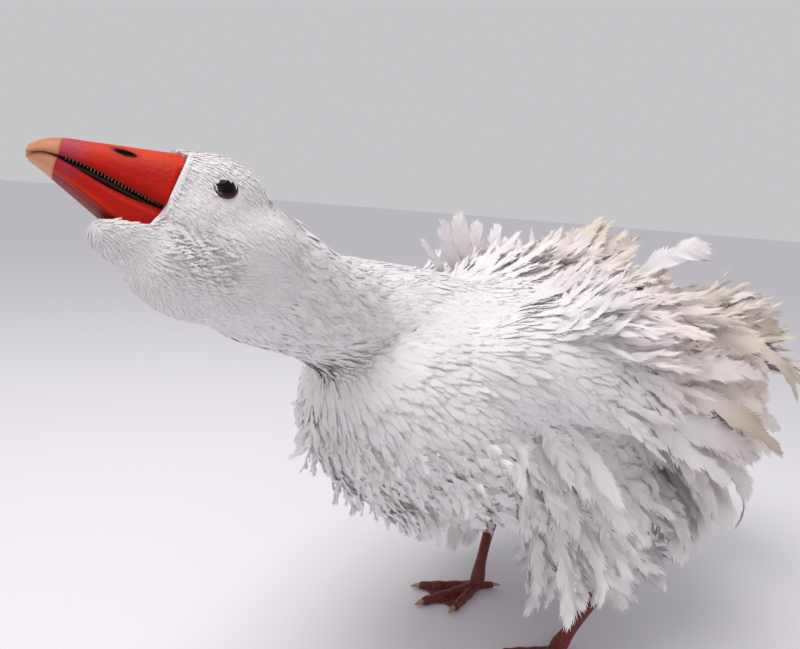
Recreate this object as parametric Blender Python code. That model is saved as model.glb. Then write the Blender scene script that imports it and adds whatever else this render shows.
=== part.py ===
"""A Sebastopol goose, standing, its neck reached out low and to its left.

Metres, +Z up. The goose faces -Y and its left side is +X. The soles stand at z = 0.
Design places are measured from a point on the floor under the middle of the trunk. The last step moves
the whole goose so that the origin is at the bottom centre of its bounding box.
"""

import math
import random

import bmesh
import bpy
from mathutils import Matrix, Vector
from mathutils.bvhtree import BVHTree

GAP = 0.0003  # between pieces that touch

# Driving sizes of the body under its loose feathers: centre and radii of each swelling
BREAST = ((0.0, -0.118, 0.272), (0.108, 0.112, 0.104))
TRUNK = ((0.0, 0.020, 0.282), (0.118, 0.185, 0.112))
BELLY = ((0.0, 0.060, 0.232), (0.100, 0.150, 0.082))
RUMP = ((0.0, 0.165, 0.290), (0.078, 0.120, 0.072))
THIGH = ((0.072, 0.030, 0.192), (0.048, 0.068, 0.070))
COAT = (0.006, 0.006, 0.004, 0.004)  # short down over each of them, which fills half way out at most
BODY_AXIS = 0.285  # height of the line through the trunk that feather places are measured about

# The neck's middle line from inside the breast to under the head, with its radius at each place
NECK_LINE = (
    ((0.000, -0.085, 0.300), 0.078),
    ((0.000, -0.160, 0.330), 0.062),
    ((0.008, -0.210, 0.348), 0.048),
    ((0.050, -0.262, 0.367), 0.039),
    ((0.090, -0.312, 0.386), 0.036),
    ((0.113, -0.344, 0.401), 0.033),
    ((0.122, -0.357, 0.406), 0.029),
    ((0.129, -0.367, 0.409), 0.021),
)
NECK_BASE = ((0.0, -0.141, 0.369), (0.0, -0.41, 0.91))  # a place on the cut and the way it faces
NECK_MIDDLE = ((0.046, -0.258, 0.366), (0.60, -0.74, 0.28))
NECK_TOP = ((0.100, -0.318, 0.395), (0.52, -0.74, 0.42))

# The head's own frame: its place is midway between the eyes
HEAD_PLACE = Vector((0.114, -0.346, 0.434))
HEAD_HEADING = 8.2  # degrees that the bill points to the goose's right of straight ahead
HEAD_LIFT = 17.0  # degrees that the bill points up
HEAD_ROLL = 17.0  # degrees that the crown leans to the goose's right

# Head swellings in that frame, where -Y is the way the bill points and +Z is the crown
SKULL = ((0.0, 0.001, 0.000), (0.0235, 0.031, 0.0220))
FACE = ((0.0, -0.020, -0.004), (0.0190, 0.023, 0.0195))
CHEEKS = ((0.0, -0.004, -0.016), (0.0245, 0.028, 0.024))
THROAT = ((0.0, -0.014, -0.037), (0.0240, 0.037, 0.026))
NOSTRIL = ((0.0128, -0.048, 0.0025), (0.0030, 0.0062, 0.0020))  # a slit on each side of the bill

EYE_RADIUS = 0.0085
EYE_APART = 0.0165  # from the middle of the head to the middle of each eye
EYE_FACING = 80.0  # degrees that each eye looks out from straight up
LID_RING = 0.0066
LID_THICK = 0.0012

# The bill: distance ahead of the eyes, half width, heights of culmen, mouth line and keel
BILL_STATIONS = (
    (0.008, 0.0180, 0.0160, -0.0190, -0.0345),
    (0.024, 0.0175, 0.0150, -0.0178, -0.0318),
    (0.036, 0.0160, 0.0118, -0.0155, -0.0275),
    (0.050, 0.0142, 0.0075, -0.0125, -0.0225),
    (0.062, 0.0128, 0.0038, -0.0105, -0.0185),
    (0.073, 0.0114, 0.0005, -0.0098, -0.0160),
    (0.081, 0.0090, -0.0028, -0.0103, -0.0146),
    (0.0865, 0.0042, -0.0070, -0.0118, -0.0136),
)
MOUTH_GAP = 0.0030  # how far the bill stands open at its middle
JAW_SHARE = 0.90  # the lower half's width as a share of the upper half's
JAW_SETBACK = 0.0018  # how much shorter the lower half is
JAW_LEAST = 0.0012  # its least height
BILL_ARCH = (0.75, 0.90)  # how full the upper and lower halves are in cross section
BILL_HOLLOW = 0.12  # how far each half is hollowed along the mouth, as a share of its height
BILL_STEPS = 8  # faces round each half
NAIL_LINE = 0.0735  # distance ahead of the eyes where the nails begin
BROW_POINT = 0.033  # distance ahead of the eyes where the forehead's feathers end in a point
BROW_SLOPE = 0.62  # how fast the feather line runs back from that point to the cheeks
CHIN_LINE = (0.028, -0.0312, 0.37)  # distance ahead, height there, and rise per metre ahead

# The legs: where each leaves the thigh, its hock and its ankle, on the goose's left
LEG_LINE = (
    ((0.072, 0.036, 0.160), 0.0140),
    ((0.078, 0.052, 0.118), 0.0115),
    ((0.084, 0.061, 0.086), 0.0100),
    ((0.079, 0.051, 0.062), 0.0066),
    ((0.071, 0.037, 0.032), 0.0062),
    ((0.066, 0.030, 0.014), 0.0085),
)
ANKLE_LINE = (LEG_LINE[-2], LEG_LINE[-1], ((0.064, 0.028, 0.006), 0.0080))
ANKLE = Vector((0.064, 0.028, 0.0))
ANKLE_CUT = 0.022
TOES = (  # name, length without claw, degrees outwards from straight ahead, thickness
    ("inner", 0.058, -24.0, 0.0052),
    ("middle", 0.078, 1.0, 0.0056),
    ("outer", 0.070, 25.0, 0.0052),
    ("hind", 0.020, -158.0, 0.0042),
)
TOE_LIFT = 0.0042  # height of each toe's middle line
TOE_SHAPE = ((-0.06, 1.25), (0.2, 1.0), (0.45, 1.12), (0.7, 0.95), (1.03, 0.80))  # share along, thickness
TOE_ARCH = 0.004  # how much higher a toe runs where it meets the ankle
TOE_END = 0.62  # the claw's thickness at its root as a share of the toe's
WEB_LOW = 0.0008
WEB_THICK = 0.0024
WEB_REACH = 0.93  # how far out along the toes the webs run
WEB_NOTCH = 0.84  # how far out they run midway between the toes
CLAW = 0.0095
CLAW_SHAPE = ((0.0, 1.0), (0.55, 0.72), (1.0, 0.18))  # share along and thickness
CLAW_BEND = 0.0012

VOXEL = 0.003
SPARE = 0.010  # left on at a cut while the faces are made fewer
HEAD_FACES = 480
NECK_FACES = 240
TORSO_FACES = 580
WING_FACES = 180
TAIL_FACES = 120

# Loose body feathers in rows: station along the trunk, lowest and highest place as degrees above
# straight sideways, how many on each side, length and width
HANGING_ROWS = (
    (-0.205, -84, -34, 4, 0.042, 0.021),
    (-0.165, -86, -26, 4, 0.052, 0.025),
    (-0.125, -86, -16, 4, 0.060, 0.028),
    (-0.085, -86, -12, 4, 0.064, 0.030),
    (-0.045, -84, -10, 4, 0.068, 0.030),
    (-0.005, -84, -14, 4, 0.072, 0.030),
    (0.040, -84, -16, 4, 0.076, 0.030),
    (0.085, -84, -18, 4, 0.084, 0.030),
    (0.130, -82, -16, 4, 0.092, 0.031),
    (0.175, -80, -10, 4, 0.094, 0.030),
    (0.215, -76, -4, 4, 0.086, 0.027),
    (0.250, -70, 4, 3, 0.072, 0.025),
)
BACK_ROWS = (
    (-0.105, 64, 86, 2, 0.052, 0.025),
    (-0.060, 60, 87, 3, 0.064, 0.026),
    (-0.010, 58, 87, 3, 0.072, 0.027),
    (0.040, 58, 87, 3, 0.076, 0.027),
    (0.090, 58, 87, 3, 0.078, 0.027),
    (0.145, 54, 86, 3, 0.076, 0.027),
    (0.200, 46, 84, 3, 0.068, 0.026),
)
# How feathers leave the skin: sideways, back and up, then ranges for lift, curl, sway, twist and droop
HANGING_WAY = (0.28, 0.64, -0.70)
HANGING_BEND = ((15, 26), (-40, 60), (-24, 24), (-42, 42), (0.20, 0.30))
BACK_WAY = (0.10, 1.00, 0.05)
BACK_BEND = ((17, 32), (-30, 65), (-30, 30), (-45, 45), (0.02, 0.08))
FLIGHT_BEND = ((-2, 2), (-24, 8), (-10, 6), (-20, 20), (0.06, 0.12))
COVERT_BEND = ((-2, 6), (-20, 48), (-24, 14), (-40, 40), (0.06, 0.16))
TAIL_BEND = ((0, 0), (-15, 35), (-14, 14), (-25, 25), (0, 0))

# Wing feathers in rows: bend, place along the wing and up it as shares of its half length and half
# height, first and last, how many, length, width, degrees that they slope down at first and last, lift
WING = ((0.104, 0.040, 0.316), (0.034, 0.145, 0.068))
WING_DROOP = 9.0  # degrees that the folded wing slopes down to its end
WING_LEAN = 24.0  # degrees that its upper edge leans in over the back
WING_CLOSE = 7.0  # degrees that its end closes in towards the tail
WING_ROWS = (
    ("primaries", FLIGHT_BEND, 0.50, 0.66, -0.50, 0.20, 6, 0.150, 0.027, 16, 2, 2),
    ("secondaries", FLIGHT_BEND, 0.10, 0.44, -0.70, 0.56, 8, 0.132, 0.031, 24, -2, 5),
    ("greater coverts", COVERT_BEND, -0.24, 0.12, -0.72, 0.66, 6, 0.084, 0.030, 28, 2, 12),
    ("lesser coverts", COVERT_BEND, -0.56, -0.26, -0.62, 0.66, 6, 0.066, 0.027, 30, 4, 17),
    ("marginal coverts", COVERT_BEND, -0.84, -0.64, -0.34, 0.46, 4, 0.052, 0.025, 32, 8, 21),
    ("scapulars", COVERT_BEND, -0.55, 0.45, 0.60, 0.62, 6, 0.108, 0.028, 16, -4, 15),
)
TAIL = ((0.0, 0.290, 0.296), (0.052, 0.050, 0.024))
TAIL_ROWS = (  # feathers, fan half angle, length, width, slope down, height share on the tail's root
    (7, 50.0, 0.098, 0.034, 8.0, -0.30),
    (6, 42.0, 0.092, 0.034, 2.0, 0.25),
    (5, 36.0, 0.055, 0.028, -8.0, 0.60),
)
SCATTER = 0.006  # how far a feather's root may lie off its row
VANE_THICK = 0.0012
SINK = 0.006  # how deep a feather's root goes
TAIL_SINK = 0.0096  # how far the tail's feathers start inside its end
OUTSIDE = 0.2  # a distance that is surely outside the body
WING_SWELL = 0.35  # how much the wing's roundness turns its feathers outwards
STATIONS = 4  # lengths along a feather
VANE_SHAPE = (0.34, 0.86, 1.0, 0.80, 0.26)  # width at each place from root to tip
VANE_TAPER = 0.45  # how much thinner the tip is
VANE_HOLLOW = 0.10  # how deep the vane is cupped, as a share of its width
SEED = 7

WHITE = (0.80, 0.79, 0.76, 1.0)
RED = (0.62, 0.045, 0.012, 1.0)
HORN = (0.72, 0.42, 0.28, 1.0)
DARK = (0.012, 0.008, 0.008, 1.0)


def clear_scene():
    for old in list(bpy.data.objects):
        bpy.data.objects.remove(old, do_unlink=True)


def head_frame():
    turn = Matrix.Rotation(math.radians(-HEAD_HEADING), 4, "Z")
    lift = Matrix.Rotation(math.radians(-HEAD_LIFT), 4, "X")
    roll = Matrix.Rotation(math.radians(-HEAD_ROLL), 4, "Y")
    return Matrix.Translation(HEAD_PLACE) @ turn @ lift @ roll


def linked(name, mesh):
    made = bpy.data.objects.new(name, mesh)
    bpy.context.scene.collection.objects.link(made)
    return made


def made_from(bm, name="form"):
    """Links a finished bmesh as an object with flat triangles and outward faces."""
    bmesh.ops.triangulate(bm, faces=bm.faces[:])
    bmesh.ops.recalc_face_normals(bm, faces=bm.faces[:])
    mesh = bpy.data.meshes.new(name)
    bm.to_mesh(mesh)
    bm.free()
    return linked(name, mesh)


def applied(carrier):
    graph = bpy.context.evaluated_depsgraph_get()
    mesh = bpy.data.meshes.new_from_object(carrier.evaluated_get(graph))
    carrier.modifiers.clear()
    carrier.data = mesh
    return carrier


def boolean(target, operation, tool, solver="EXACT"):
    """Cuts or joins the target with a tool object, and removes the tool."""
    change = target.modifiers.new("Boolean", "BOOLEAN")
    change.operation = operation
    change.solver = solver
    change.object = tool
    applied(target)
    bpy.data.objects.remove(tool)
    return target


def copy_of(source, name="copy"):
    return linked(name, source.data.copy())


def grown(source, by):
    """A copy whose surface lies further out, to cut what touches it."""
    copy = copy_of(source, "grown")
    normals = [vertex.normal.copy() for vertex in copy.data.vertices]
    for vertex, normal in zip(copy.data.vertices, normals):
        vertex.co += by * normal
    return copy


def largest(carrier):
    """Keeps the closed surface with the most volume."""
    bm = bmesh.new()
    bm.from_mesh(carrier.data)
    left = set(bm.faces)
    groups = []
    while left:
        stack = [left.pop()]
        group = []
        while stack:
            face = stack.pop()
            group.append(face)
            for edge in face.edges:
                for other in edge.link_faces:
                    if other in left:
                        left.remove(other)
                        stack.append(other)
        volume = sum(f.verts[0].co.dot(f.verts[1].co.cross(f.verts[2].co)) for f in group)
        groups.append((abs(volume), group))
    groups.sort(key=lambda pair: pair[0])
    extra = [face for pair in groups[:-1] for face in pair[1]]
    bmesh.ops.delete(bm, geom=extra, context="FACES")
    bm.to_mesh(carrier.data)
    bm.free()
    return carrier


def swelling(bm, form, frame=Matrix.Identity(4), side=1, extra=0.0, detail=4):
    (x, y, z), radii = form
    radii = [radius + extra for radius in radii]
    place = frame @ Matrix.Translation((side * x, y, z)) @ Matrix.Diagonal((*radii, 1.0))
    bmesh.ops.create_icosphere(bm, subdivisions=detail, radius=1.0, matrix=place)


def smooth_line(line, steps=6):
    """Points on a smooth curve through every (place, radius) of the line."""
    knots = [Vector((*place, radius)) for place, radius in line]
    knots = [2 * knots[0] - knots[1]] + knots + [2 * knots[-1] - knots[-2]]
    made = []
    for a, b, c, d in zip(knots, knots[1:], knots[2:], knots[3:]):
        for step in range(steps):
            t = step / steps
            made.append(0.5 * (2 * b + t * (c - a) + t * t * (2 * a - 5 * b + 4 * c - d)
                               + t ** 3 * (3 * b - a - 3 * c + d)))
    made.append(knots[-2])
    return [(knot.xyz, knot.w) for knot in made]


def tube(line, steps=6, resolution=4, name="tube"):
    """A closed tube of varied radius through the line's places."""
    curve = bpy.data.curves.new(name, "CURVE")
    curve.dimensions = "3D"
    curve.bevel_depth = 1.0
    curve.bevel_resolution = resolution
    curve.use_fill_caps = True
    points = smooth_line(line, steps)
    spline = curve.splines.new("POLY")
    spline.points.add(len(points) - 1)
    for point, (place, radius) in zip(spline.points, points):
        point.co = (*place, 1.0)
        point.radius = radius
    carrier = linked(name, curve)
    graph = bpy.context.evaluated_depsgraph_get()
    mesh = bpy.data.meshes.new_from_object(carrier.evaluated_get(graph))
    bpy.data.objects.remove(carrier)
    bm = bmesh.new()
    bm.from_mesh(mesh)
    bmesh.ops.remove_doubles(bm, verts=bm.verts[:], dist=1e-6)
    return made_from(bm, name)


def cut_by_plane(carrier, place, normal):
    """Removes what lies beyond the plane, on the side its normal points to, and caps the cut."""
    bm = bmesh.new()
    bm.from_mesh(carrier.data)
    whole = bm.verts[:] + bm.edges[:] + bm.faces[:]
    bmesh.ops.bisect_plane(bm, geom=whole, plane_co=place, plane_no=normal, clear_outer=True)
    rim = [edge for edge in bm.edges if edge.is_boundary]
    bmesh.ops.holes_fill(bm, edges=rim)
    bmesh.ops.triangulate(bm, faces=bm.faces[:])
    bm.to_mesh(carrier.data)
    bm.free()
    return carrier


def thinned(carrier, faces):
    """Reduces a fine mesh to about so many triangles."""
    fewer = carrier.modifiers.new("Decimate", "DECIMATE")
    triangles = sum(len(face.vertices) - 2 for face in carrier.data.polygons)
    fewer.ratio = min(1.0, faces / triangles)
    return applied(carrier)


def body_form():
    """Trunk, thighs, neck and head as one smooth body."""
    bm = bmesh.new()
    for form, extra in zip((BREAST, TRUNK, BELLY, RUMP), COAT):
        swelling(bm, form, extra=extra)
    for side in (1, -1):
        swelling(bm, THIGH, side=side)
    frame = head_frame()
    for form in (SKULL, FACE, CHEEKS, THROAT):
        swelling(bm, form, frame)
    neck = tube(NECK_LINE, resolution=8)
    bm.from_mesh(neck.data)
    bpy.data.objects.remove(neck)
    body = made_from(bm, "body")
    remesh = body.modifiers.new("Remesh", "REMESH")
    remesh.mode = "VOXEL"
    remesh.voxel_size = VOXEL
    smooth = body.modifiers.new("Smooth", "SMOOTH")
    smooth.factor = 0.5
    smooth.iterations = 14
    return applied(body)


def length_of_body(body, name, lower, upper, faces):
    """The stretch of the body between two cuts, each a place and the way towards the head."""
    piece = copy_of(body, name)
    cuts = []
    if lower:
        cuts.append((Vector(lower[0]), -Vector(lower[1]).normalized()))
    if upper:
        cuts.append((Vector(upper[0]), Vector(upper[1]).normalized()))
    for place, away in cuts:
        cut_by_plane(piece, place + SPARE * away, away)
    thinned(piece, faces)
    for place, away in cuts:
        cut_by_plane(piece, place - GAP / 2 * away, away)
    return largest(piece)


def mask_ahead(frame, forward=0.0, up=0.0):
    """The space ahead of the feather line and above the chin, where the bill is bare."""
    reach, high = 0.060, 0.060
    ahead, height, rise = CHIN_LINE
    plan = [(-reach, -0.110), (reach, -0.110), (reach, BROW_SLOPE * reach - BROW_POINT),
            (0.0, -BROW_POINT), (-reach, BROW_SLOPE * reach - BROW_POINT)]
    bm = bmesh.new()
    floor = [bm.verts.new((x, y - forward, height + rise * (-y - ahead) + up)) for x, y in plan]
    roof = [bm.verts.new((x, y - forward, high)) for x, y in plan]
    bm.faces.new(floor[::-1])
    bm.faces.new(roof)
    for i in range(len(plan)):
        j = (i + 1) % len(plan)
        bm.faces.new((floor[i], floor[j], roof[j], roof[i]))
    bm.transform(frame)
    return made_from(bm, "mask")


def loft(rings, name):
    """A closed skin over rings of equal number of places, capped at both ends."""
    bm = bmesh.new()
    rows = [[bm.verts.new(place) for place in ring] for ring in rings]
    count = len(rows[0])
    for low, high in zip(rows, rows[1:]):
        for i in range(count):
            j = (i + 1) % count
            bm.faces.new((low[i], low[j], high[j], high[i]))
    bm.faces.new(rows[0][::-1])
    bm.faces.new(rows[-1])
    return made_from(bm, name)


def mandible(frame, upper):
    """Half of the bill from inside the head to its tip."""
    rings = []
    last = len(BILL_STATIONS) - 1
    for index, (ahead, half, culmen, mouth, keel) in enumerate(BILL_STATIONS):
        share = index / last
        if upper:
            edge, far, arch = mouth, culmen, BILL_ARCH[0]
        else:
            edge = mouth - GAP - MOUTH_GAP * math.sin(math.pi * min(1.0, share * 1.15)) ** 2
            far, arch = min(keel, edge - JAW_LEAST), BILL_ARCH[1]
            half *= JAW_SHARE
            ahead -= JAW_SETBACK * share
        ring = []
        for step in range(BILL_STEPS + 1):
            turn = math.pi * step / BILL_STEPS
            height = edge + (far - edge) * math.sin(turn) ** arch
            ring.append(Vector((half * math.cos(turn), -ahead, height)))
        ring.append(Vector((0.0, -ahead, edge + BILL_HOLLOW * (far - edge))))
        rings.append([frame @ place for place in ring])
    return loft(rings, "mandible")


def sphere(name, place, radius, segments=12, rings=8):
    bm = bmesh.new()
    bmesh.ops.create_uvsphere(bm, u_segments=segments, v_segments=rings, radius=radius, matrix=place)
    return made_from(bm, name)


def ring(name, place, major, minor, around=14, across=5):
    """A torus about the place's Z axis."""
    rings = []
    for i in range(around):
        turn = 2 * math.pi * i / around
        circle = []
        for j in range(across):
            tilt = 2 * math.pi * j / across
            reach = major + minor * math.cos(tilt)
            spot = Vector((reach * math.cos(turn), reach * math.sin(turn), minor * math.sin(tilt)))
            circle.append(place @ spot)
        rings.append(circle)
    bm = bmesh.new()
    rows = [[bm.verts.new(spot) for spot in circle] for circle in rings]
    for i in range(around):
        low, high = rows[i], rows[(i + 1) % around]
        for j in range(across):
            k = (j + 1) % across
            bm.faces.new((low[j], low[k], high[k], high[j]))
    return made_from(bm, name)


def eye_place(frame, side):
    """An eye's own frame, its Z axis pointing out of the head."""
    outwards = Matrix.Rotation(side * math.radians(EYE_FACING), 4, "Y")
    return frame @ Matrix.Translation((side * EYE_APART, 0.0, 0.0)) @ outwards


def build_head(body, frame):
    head = length_of_body(body, "head", NECK_TOP, None, HEAD_FACES)
    boolean(head, "DIFFERENCE", mask_ahead(frame))
    for side in (1, -1):
        place = eye_place(frame, side)
        lid_height = math.sqrt((EYE_RADIUS + LID_THICK / 2) ** 2 - LID_RING ** 2)
        lids = ring("lids", place @ Matrix.Translation((0, 0, lid_height)), LID_RING, LID_THICK)
        boolean(head, "UNION", lids)
        boolean(head, "DIFFERENCE", sphere("socket", place, EYE_RADIUS + GAP))
    return largest(head)


def build_eyes(frame):
    for side, name in ((1, "eye_left"), (-1, "eye_right")):
        sphere(name, eye_place(frame, side), EYE_RADIUS)


def build_bill(frame):
    for part, upper in (("upper", True), ("lower", False)):
        whole = mandible(frame, upper)
        boolean(whole, "INTERSECT", mask_ahead(frame, forward=1.3 * GAP, up=GAP))
        if upper:
            for side in (1, -1):
                bm = bmesh.new()
                swelling(bm, NOSTRIL, frame, side, detail=2)
                boolean(whole, "DIFFERENCE", made_from(bm, "nostril"))
        line = frame @ Vector((0.0, -NAIL_LINE, 0.0))
        ahead = frame.to_3x3() @ Vector((0.0, -1.0, 0.0))
        nail = copy_of(whole, "nail_" + part)
        cut_by_plane(nail, line + GAP / 2 * ahead, -ahead)
        cut_by_plane(whole, line - GAP / 2 * ahead, ahead)
        whole.name = "bill_" + part


def mirrored_line(line, side):
    return [((side * place[0], place[1], place[2]), radius) for place, radius in line]


def build_leg(side, word, torso):
    leg = tube(mirrored_line(LEG_LINE, side), steps=3, resolution=2, name="leg_" + word)
    cut_by_plane(leg, Vector((0, 0, ANKLE_CUT + GAP / 2)), Vector((0, 0, -1)))
    boolean(leg, "DIFFERENCE", grown(torso, GAP))
    return largest(leg)


def toe_direction(side, degrees):
    turn = math.radians(degrees)
    return Vector((side * math.sin(turn), -math.cos(turn), 0.0))


def build_foot(side, word):
    """Webbed foot with four toes, flat under the toes, and its claws."""
    ankle = Vector((side * ANKLE.x, ANKLE.y, 0.0))
    foot = tube(mirrored_line(ANKLE_LINE, side), steps=2, resolution=2, name="foot_" + word)
    tips = []
    for name, length, degrees, thick in TOES:
        ahead = toe_direction(side, degrees)
        line = []
        for share, swell in TOE_SHAPE:
            place = ankle + share * length * ahead
            place.z = TOE_LIFT + TOE_ARCH * max(0.0, 0.3 - share)
            line.append((place, thick * swell))
        toe = tube(line, steps=1, resolution=1)
        tip = ankle + length * ahead
        cut_by_plane(toe, tip, ahead)
        boolean(foot, "UNION", toe)
        tips.append(tip)
        build_claw(f"claw_{word}_{name}", tip + GAP * ahead, ahead, thick * TOE_END)
    boolean(foot, "UNION", build_web(side, ankle, tips[:3]))
    cut_by_plane(foot, Vector((0, 0, ANKLE_CUT - GAP / 2)), Vector((0, 0, 1)))
    cut_by_plane(foot, Vector((0, 0, 0)), Vector((0, 0, -1)))
    return largest(foot)


def build_web(side, ankle, tips):
    """The webs between the three front toes as one flat skin with hollow edges."""
    inner, middle, outer = [ankle + WEB_REACH * (tip - ankle) for tip in tips]
    hollows = [ankle + WEB_NOTCH * ((one + other) / 2 - ankle)
               for one, other in ((tips[0], tips[1]), (tips[1], tips[2]))]
    plan = [ankle - TOE_LIFT * toe_direction(side, 0), inner, hollows[0], middle, hollows[1], outer]
    bm = bmesh.new()
    under = [bm.verts.new((place.x, place.y, WEB_LOW)) for place in plan]
    over = [bm.verts.new((place.x, place.y, WEB_LOW + WEB_THICK)) for place in plan]
    bm.faces.new(under)
    bm.faces.new(over)
    for i in range(len(plan)):
        j = (i + 1) % len(plan)
        bm.faces.new((under[i], under[j], over[j], over[i]))
    return made_from(bm, "web")


def build_claw(name, base, ahead, thick):
    """A short blunt claw that bends down a little, clear of the floor."""
    across = ahead.cross(Vector((0, 0, 1)))
    rings = []
    for share, width in CLAW_SHAPE:
        middle = base + share * CLAW * ahead
        middle.z = TOE_LIFT - CLAW_BEND * share ** 2
        circle = []
        for step in range(6):
            turn = 2 * math.pi * step / 6
            up = Vector((0, 0, math.sin(turn) * thick * width))
            circle.append(middle + math.cos(turn) * thick * width * across + up)
        rings.append(circle)
    return loft(rings, name)


def turned(vector, axis, degrees):
    return Matrix.Rotation(math.radians(degrees), 3, axis) @ vector


def vane(root, ahead, out, size, bend, extra=0.0):
    """A feather's vane as a closed strip: its places and its triangles, alike on both faces.

    size is length, width and thickness; bend is degrees of lift, curl, sway and twist, and a droop.
    """
    length, width, thick = size
    lift, curl, sway, twist, droop = bend
    side = ahead.cross(out).normalized()
    way = turned(ahead, side, lift)
    face = turned(out, side, lift)
    place = root - SINK * out - 0.3 * SINK * ahead
    step = (length + SINK) / STATIONS
    places = []
    for index, share in enumerate(VANE_SHAPE):
        half = 0.5 * width * share + extra
        rise = 0.5 * thick * (1.0 - VANE_TAPER * index / STATIONS) + extra
        hollow = VANE_HOLLOW * width * share
        across = way.cross(face).normalized()
        for turn, height in ((-1, -1), (1, -1), (1, 1), (-1, 1)):
            places.append(place + turn * half * across + (height * rise - hollow * (index > 0)) * face)
        growth = index / (STATIONS - 1)
        way = turned(way, across, curl * (0.15 + growth) / STATIONS)
        way = (way + droop / STATIONS * Vector((0, 0, -1))).normalized()
        way = turned(way, face, sway / STATIONS)
        face = (face - face.dot(way) * way).normalized()
        face = turned(face, way, twist / STATIONS)
        place = place + step * way
    faces = [(0, 1, 2), (0, 2, 3)]
    for index in range(STATIONS):
        a = 4 * index
        b = a + 4
        faces += [(a, b + 1, a + 1), (a, b, b + 1), (a + 3, a + 2, b + 2), (a + 3, b + 2, b + 3)]
        faces += [(a + 1, b + 2, a + 2), (a + 1, b + 1, b + 2), (a + 3, b, a), (a + 3, b + 3, b)]
    last = 4 * STATIONS
    faces += [(last, last + 2, last + 1), (last, last + 3, last + 2)]
    return places, faces


def tree_of(carrier):
    mesh = carrier.data
    places = [vertex.co.copy() for vertex in mesh.vertices]
    return BVHTree.FromPolygons(places, [tuple(face.vertices) for face in mesh.polygons])


# Changes tried in turn until a feather lies clear: degrees of lift and sway, and a share of its length
CHANGES = (
    (0, 0, 1.0), (5, 0, 1.0), (-4, 0, 1.0), (3, 10, 1.0), (3, -10, 1.0), (10, 0, 1.0), (8, 16, 0.95),
    (8, -16, 0.95), (16, 0, 0.9), (-8, 0, 0.85), (22, 8, 0.8), (22, -8, 0.8), (30, 0, 0.7), (14, 24, 0.6),
    (14, -24, 0.6),
)
FLOOR_CLEAR = 0.012
ROOT_FACES = 10  # the first triangles of a vane, which lie in the skin
CORE_COST = 2  # how much worse it is to cross the skin than a neighbour


def settled(wish, core, others, laid):
    """The change of a wished feather that lies clear of other nodes and crosses fewest neighbours."""
    root, ahead, out, (length, width, thick), (lift, curl, sway, twist, droop) = wish
    best = None
    for more_lift, more_sway, share in CHANGES:
        size = (length * share, width, thick)
        bend = (lift + more_lift, curl, sway + more_sway, twist, droop)
        places, faces = vane(root, ahead, out, size, bend, extra=GAP)
        if min(place.z for place in places) < FLOOR_CLEAR:
            continue
        tree = BVHTree.FromPolygons(places, faces)
        if any(tree.overlap(other) for other in others):
            continue
        outer = BVHTree.FromPolygons(places, faces[ROOT_FACES:])
        cost = CORE_COST * len(outer.overlap(core))
        for neighbour in laid:
            cost += len(outer.overlap(neighbour))
        if best is None or cost < best[0]:
            best = (cost, size, bend)
        if cost == 0:
            break
    if best is None:
        return None
    places, faces = vane(root, ahead, out, best[1], best[2])
    laid.append(BVHTree.FromPolygons(places, faces[ROOT_FACES:]))
    return places, faces


def fused(carrier, pieces):
    """Joins closed pieces to their node with one union."""
    group = bpy.data.collections.new("vanes")
    bpy.context.scene.collection.children.link(group)
    for places, faces in pieces:
        mesh = bpy.data.meshes.new("vane")
        mesh.from_pydata(places, [], faces)
        group.objects.link(bpy.data.objects.new("vane", mesh))
    join = carrier.modifiers.new("Boolean", "BOOLEAN")
    join.operation = "UNION"
    join.operand_type = "COLLECTION"
    join.collection = group
    join.solver = "MANIFOLD"
    applied(carrier)
    for piece in list(group.objects):
        bpy.data.objects.remove(piece)
    bpy.data.collections.remove(group)
    return largest(carrier)


def drawn(ranges, draw):
    return [draw.uniform(low, high) for low, high in ranges]


def along_skin(way, out):
    return (way - way.dot(out) * out).normalized()


def body_feathers(core, rows, way, bends, draw):
    """The wished feathers of one set of rows on both sides of the trunk."""
    wishes = []
    for number, (station, low, high, count, length, width) in enumerate(rows):
        stagger = 0.25 if number % 2 else 0.75
        for side in (1, -1):
            for index in range(count):
                degrees = low + (high - low) * (index + stagger) / count + draw.uniform(-2, 2)
                turn = math.radians(degrees)
                axis = Vector((0.0, station + draw.uniform(-SCATTER, SCATTER), BODY_AXIS))
                away = Vector((side * math.cos(turn), 0.0, math.sin(turn)))
                root, out, face, far = core.ray_cast(axis, away)
                if root is None:
                    continue
                ahead = along_skin(Vector((side * way[0] * math.cos(turn), way[1], way[2])), out)
                size = (length * draw.uniform(0.88, 1.15), width * draw.uniform(0.9, 1.1), VANE_THICK)
                wishes.append((root, ahead, out, size, drawn(bends, draw)))
    return wishes


def feather_torso(torso, others, draw):
    core = tree_of(torso)
    wishes = body_feathers(core, HANGING_ROWS, HANGING_WAY, HANGING_BEND, draw)
    wishes += body_feathers(core, BACK_ROWS, BACK_WAY, BACK_BEND, draw)
    laid = []
    pieces = [settled(wish, core, others, laid) for wish in wishes]
    return fused(torso, [piece for piece in pieces if piece])


def wing_frame(side):
    (x, y, z), radii = WING
    droop = Matrix.Rotation(math.radians(-WING_DROOP), 4, "X")
    lean = Matrix.Rotation(math.radians(-side * WING_LEAN), 4, "Y")
    close = Matrix.Rotation(math.radians(side * WING_CLOSE), 4, "Z")
    return Matrix.Translation((side * x, y, z)) @ close @ lean @ droop


def build_wing(side, word, torso):
    """The folded wing's core, which lies against the trunk."""
    bm = bmesh.new()
    swelling(bm, ((0, 0, 0), WING[1]), wing_frame(side), detail=3)
    wing = thinned(made_from(bm, "wing_" + word), WING_FACES)
    return largest(boolean(wing, "DIFFERENCE", grown(torso, GAP)))


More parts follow.
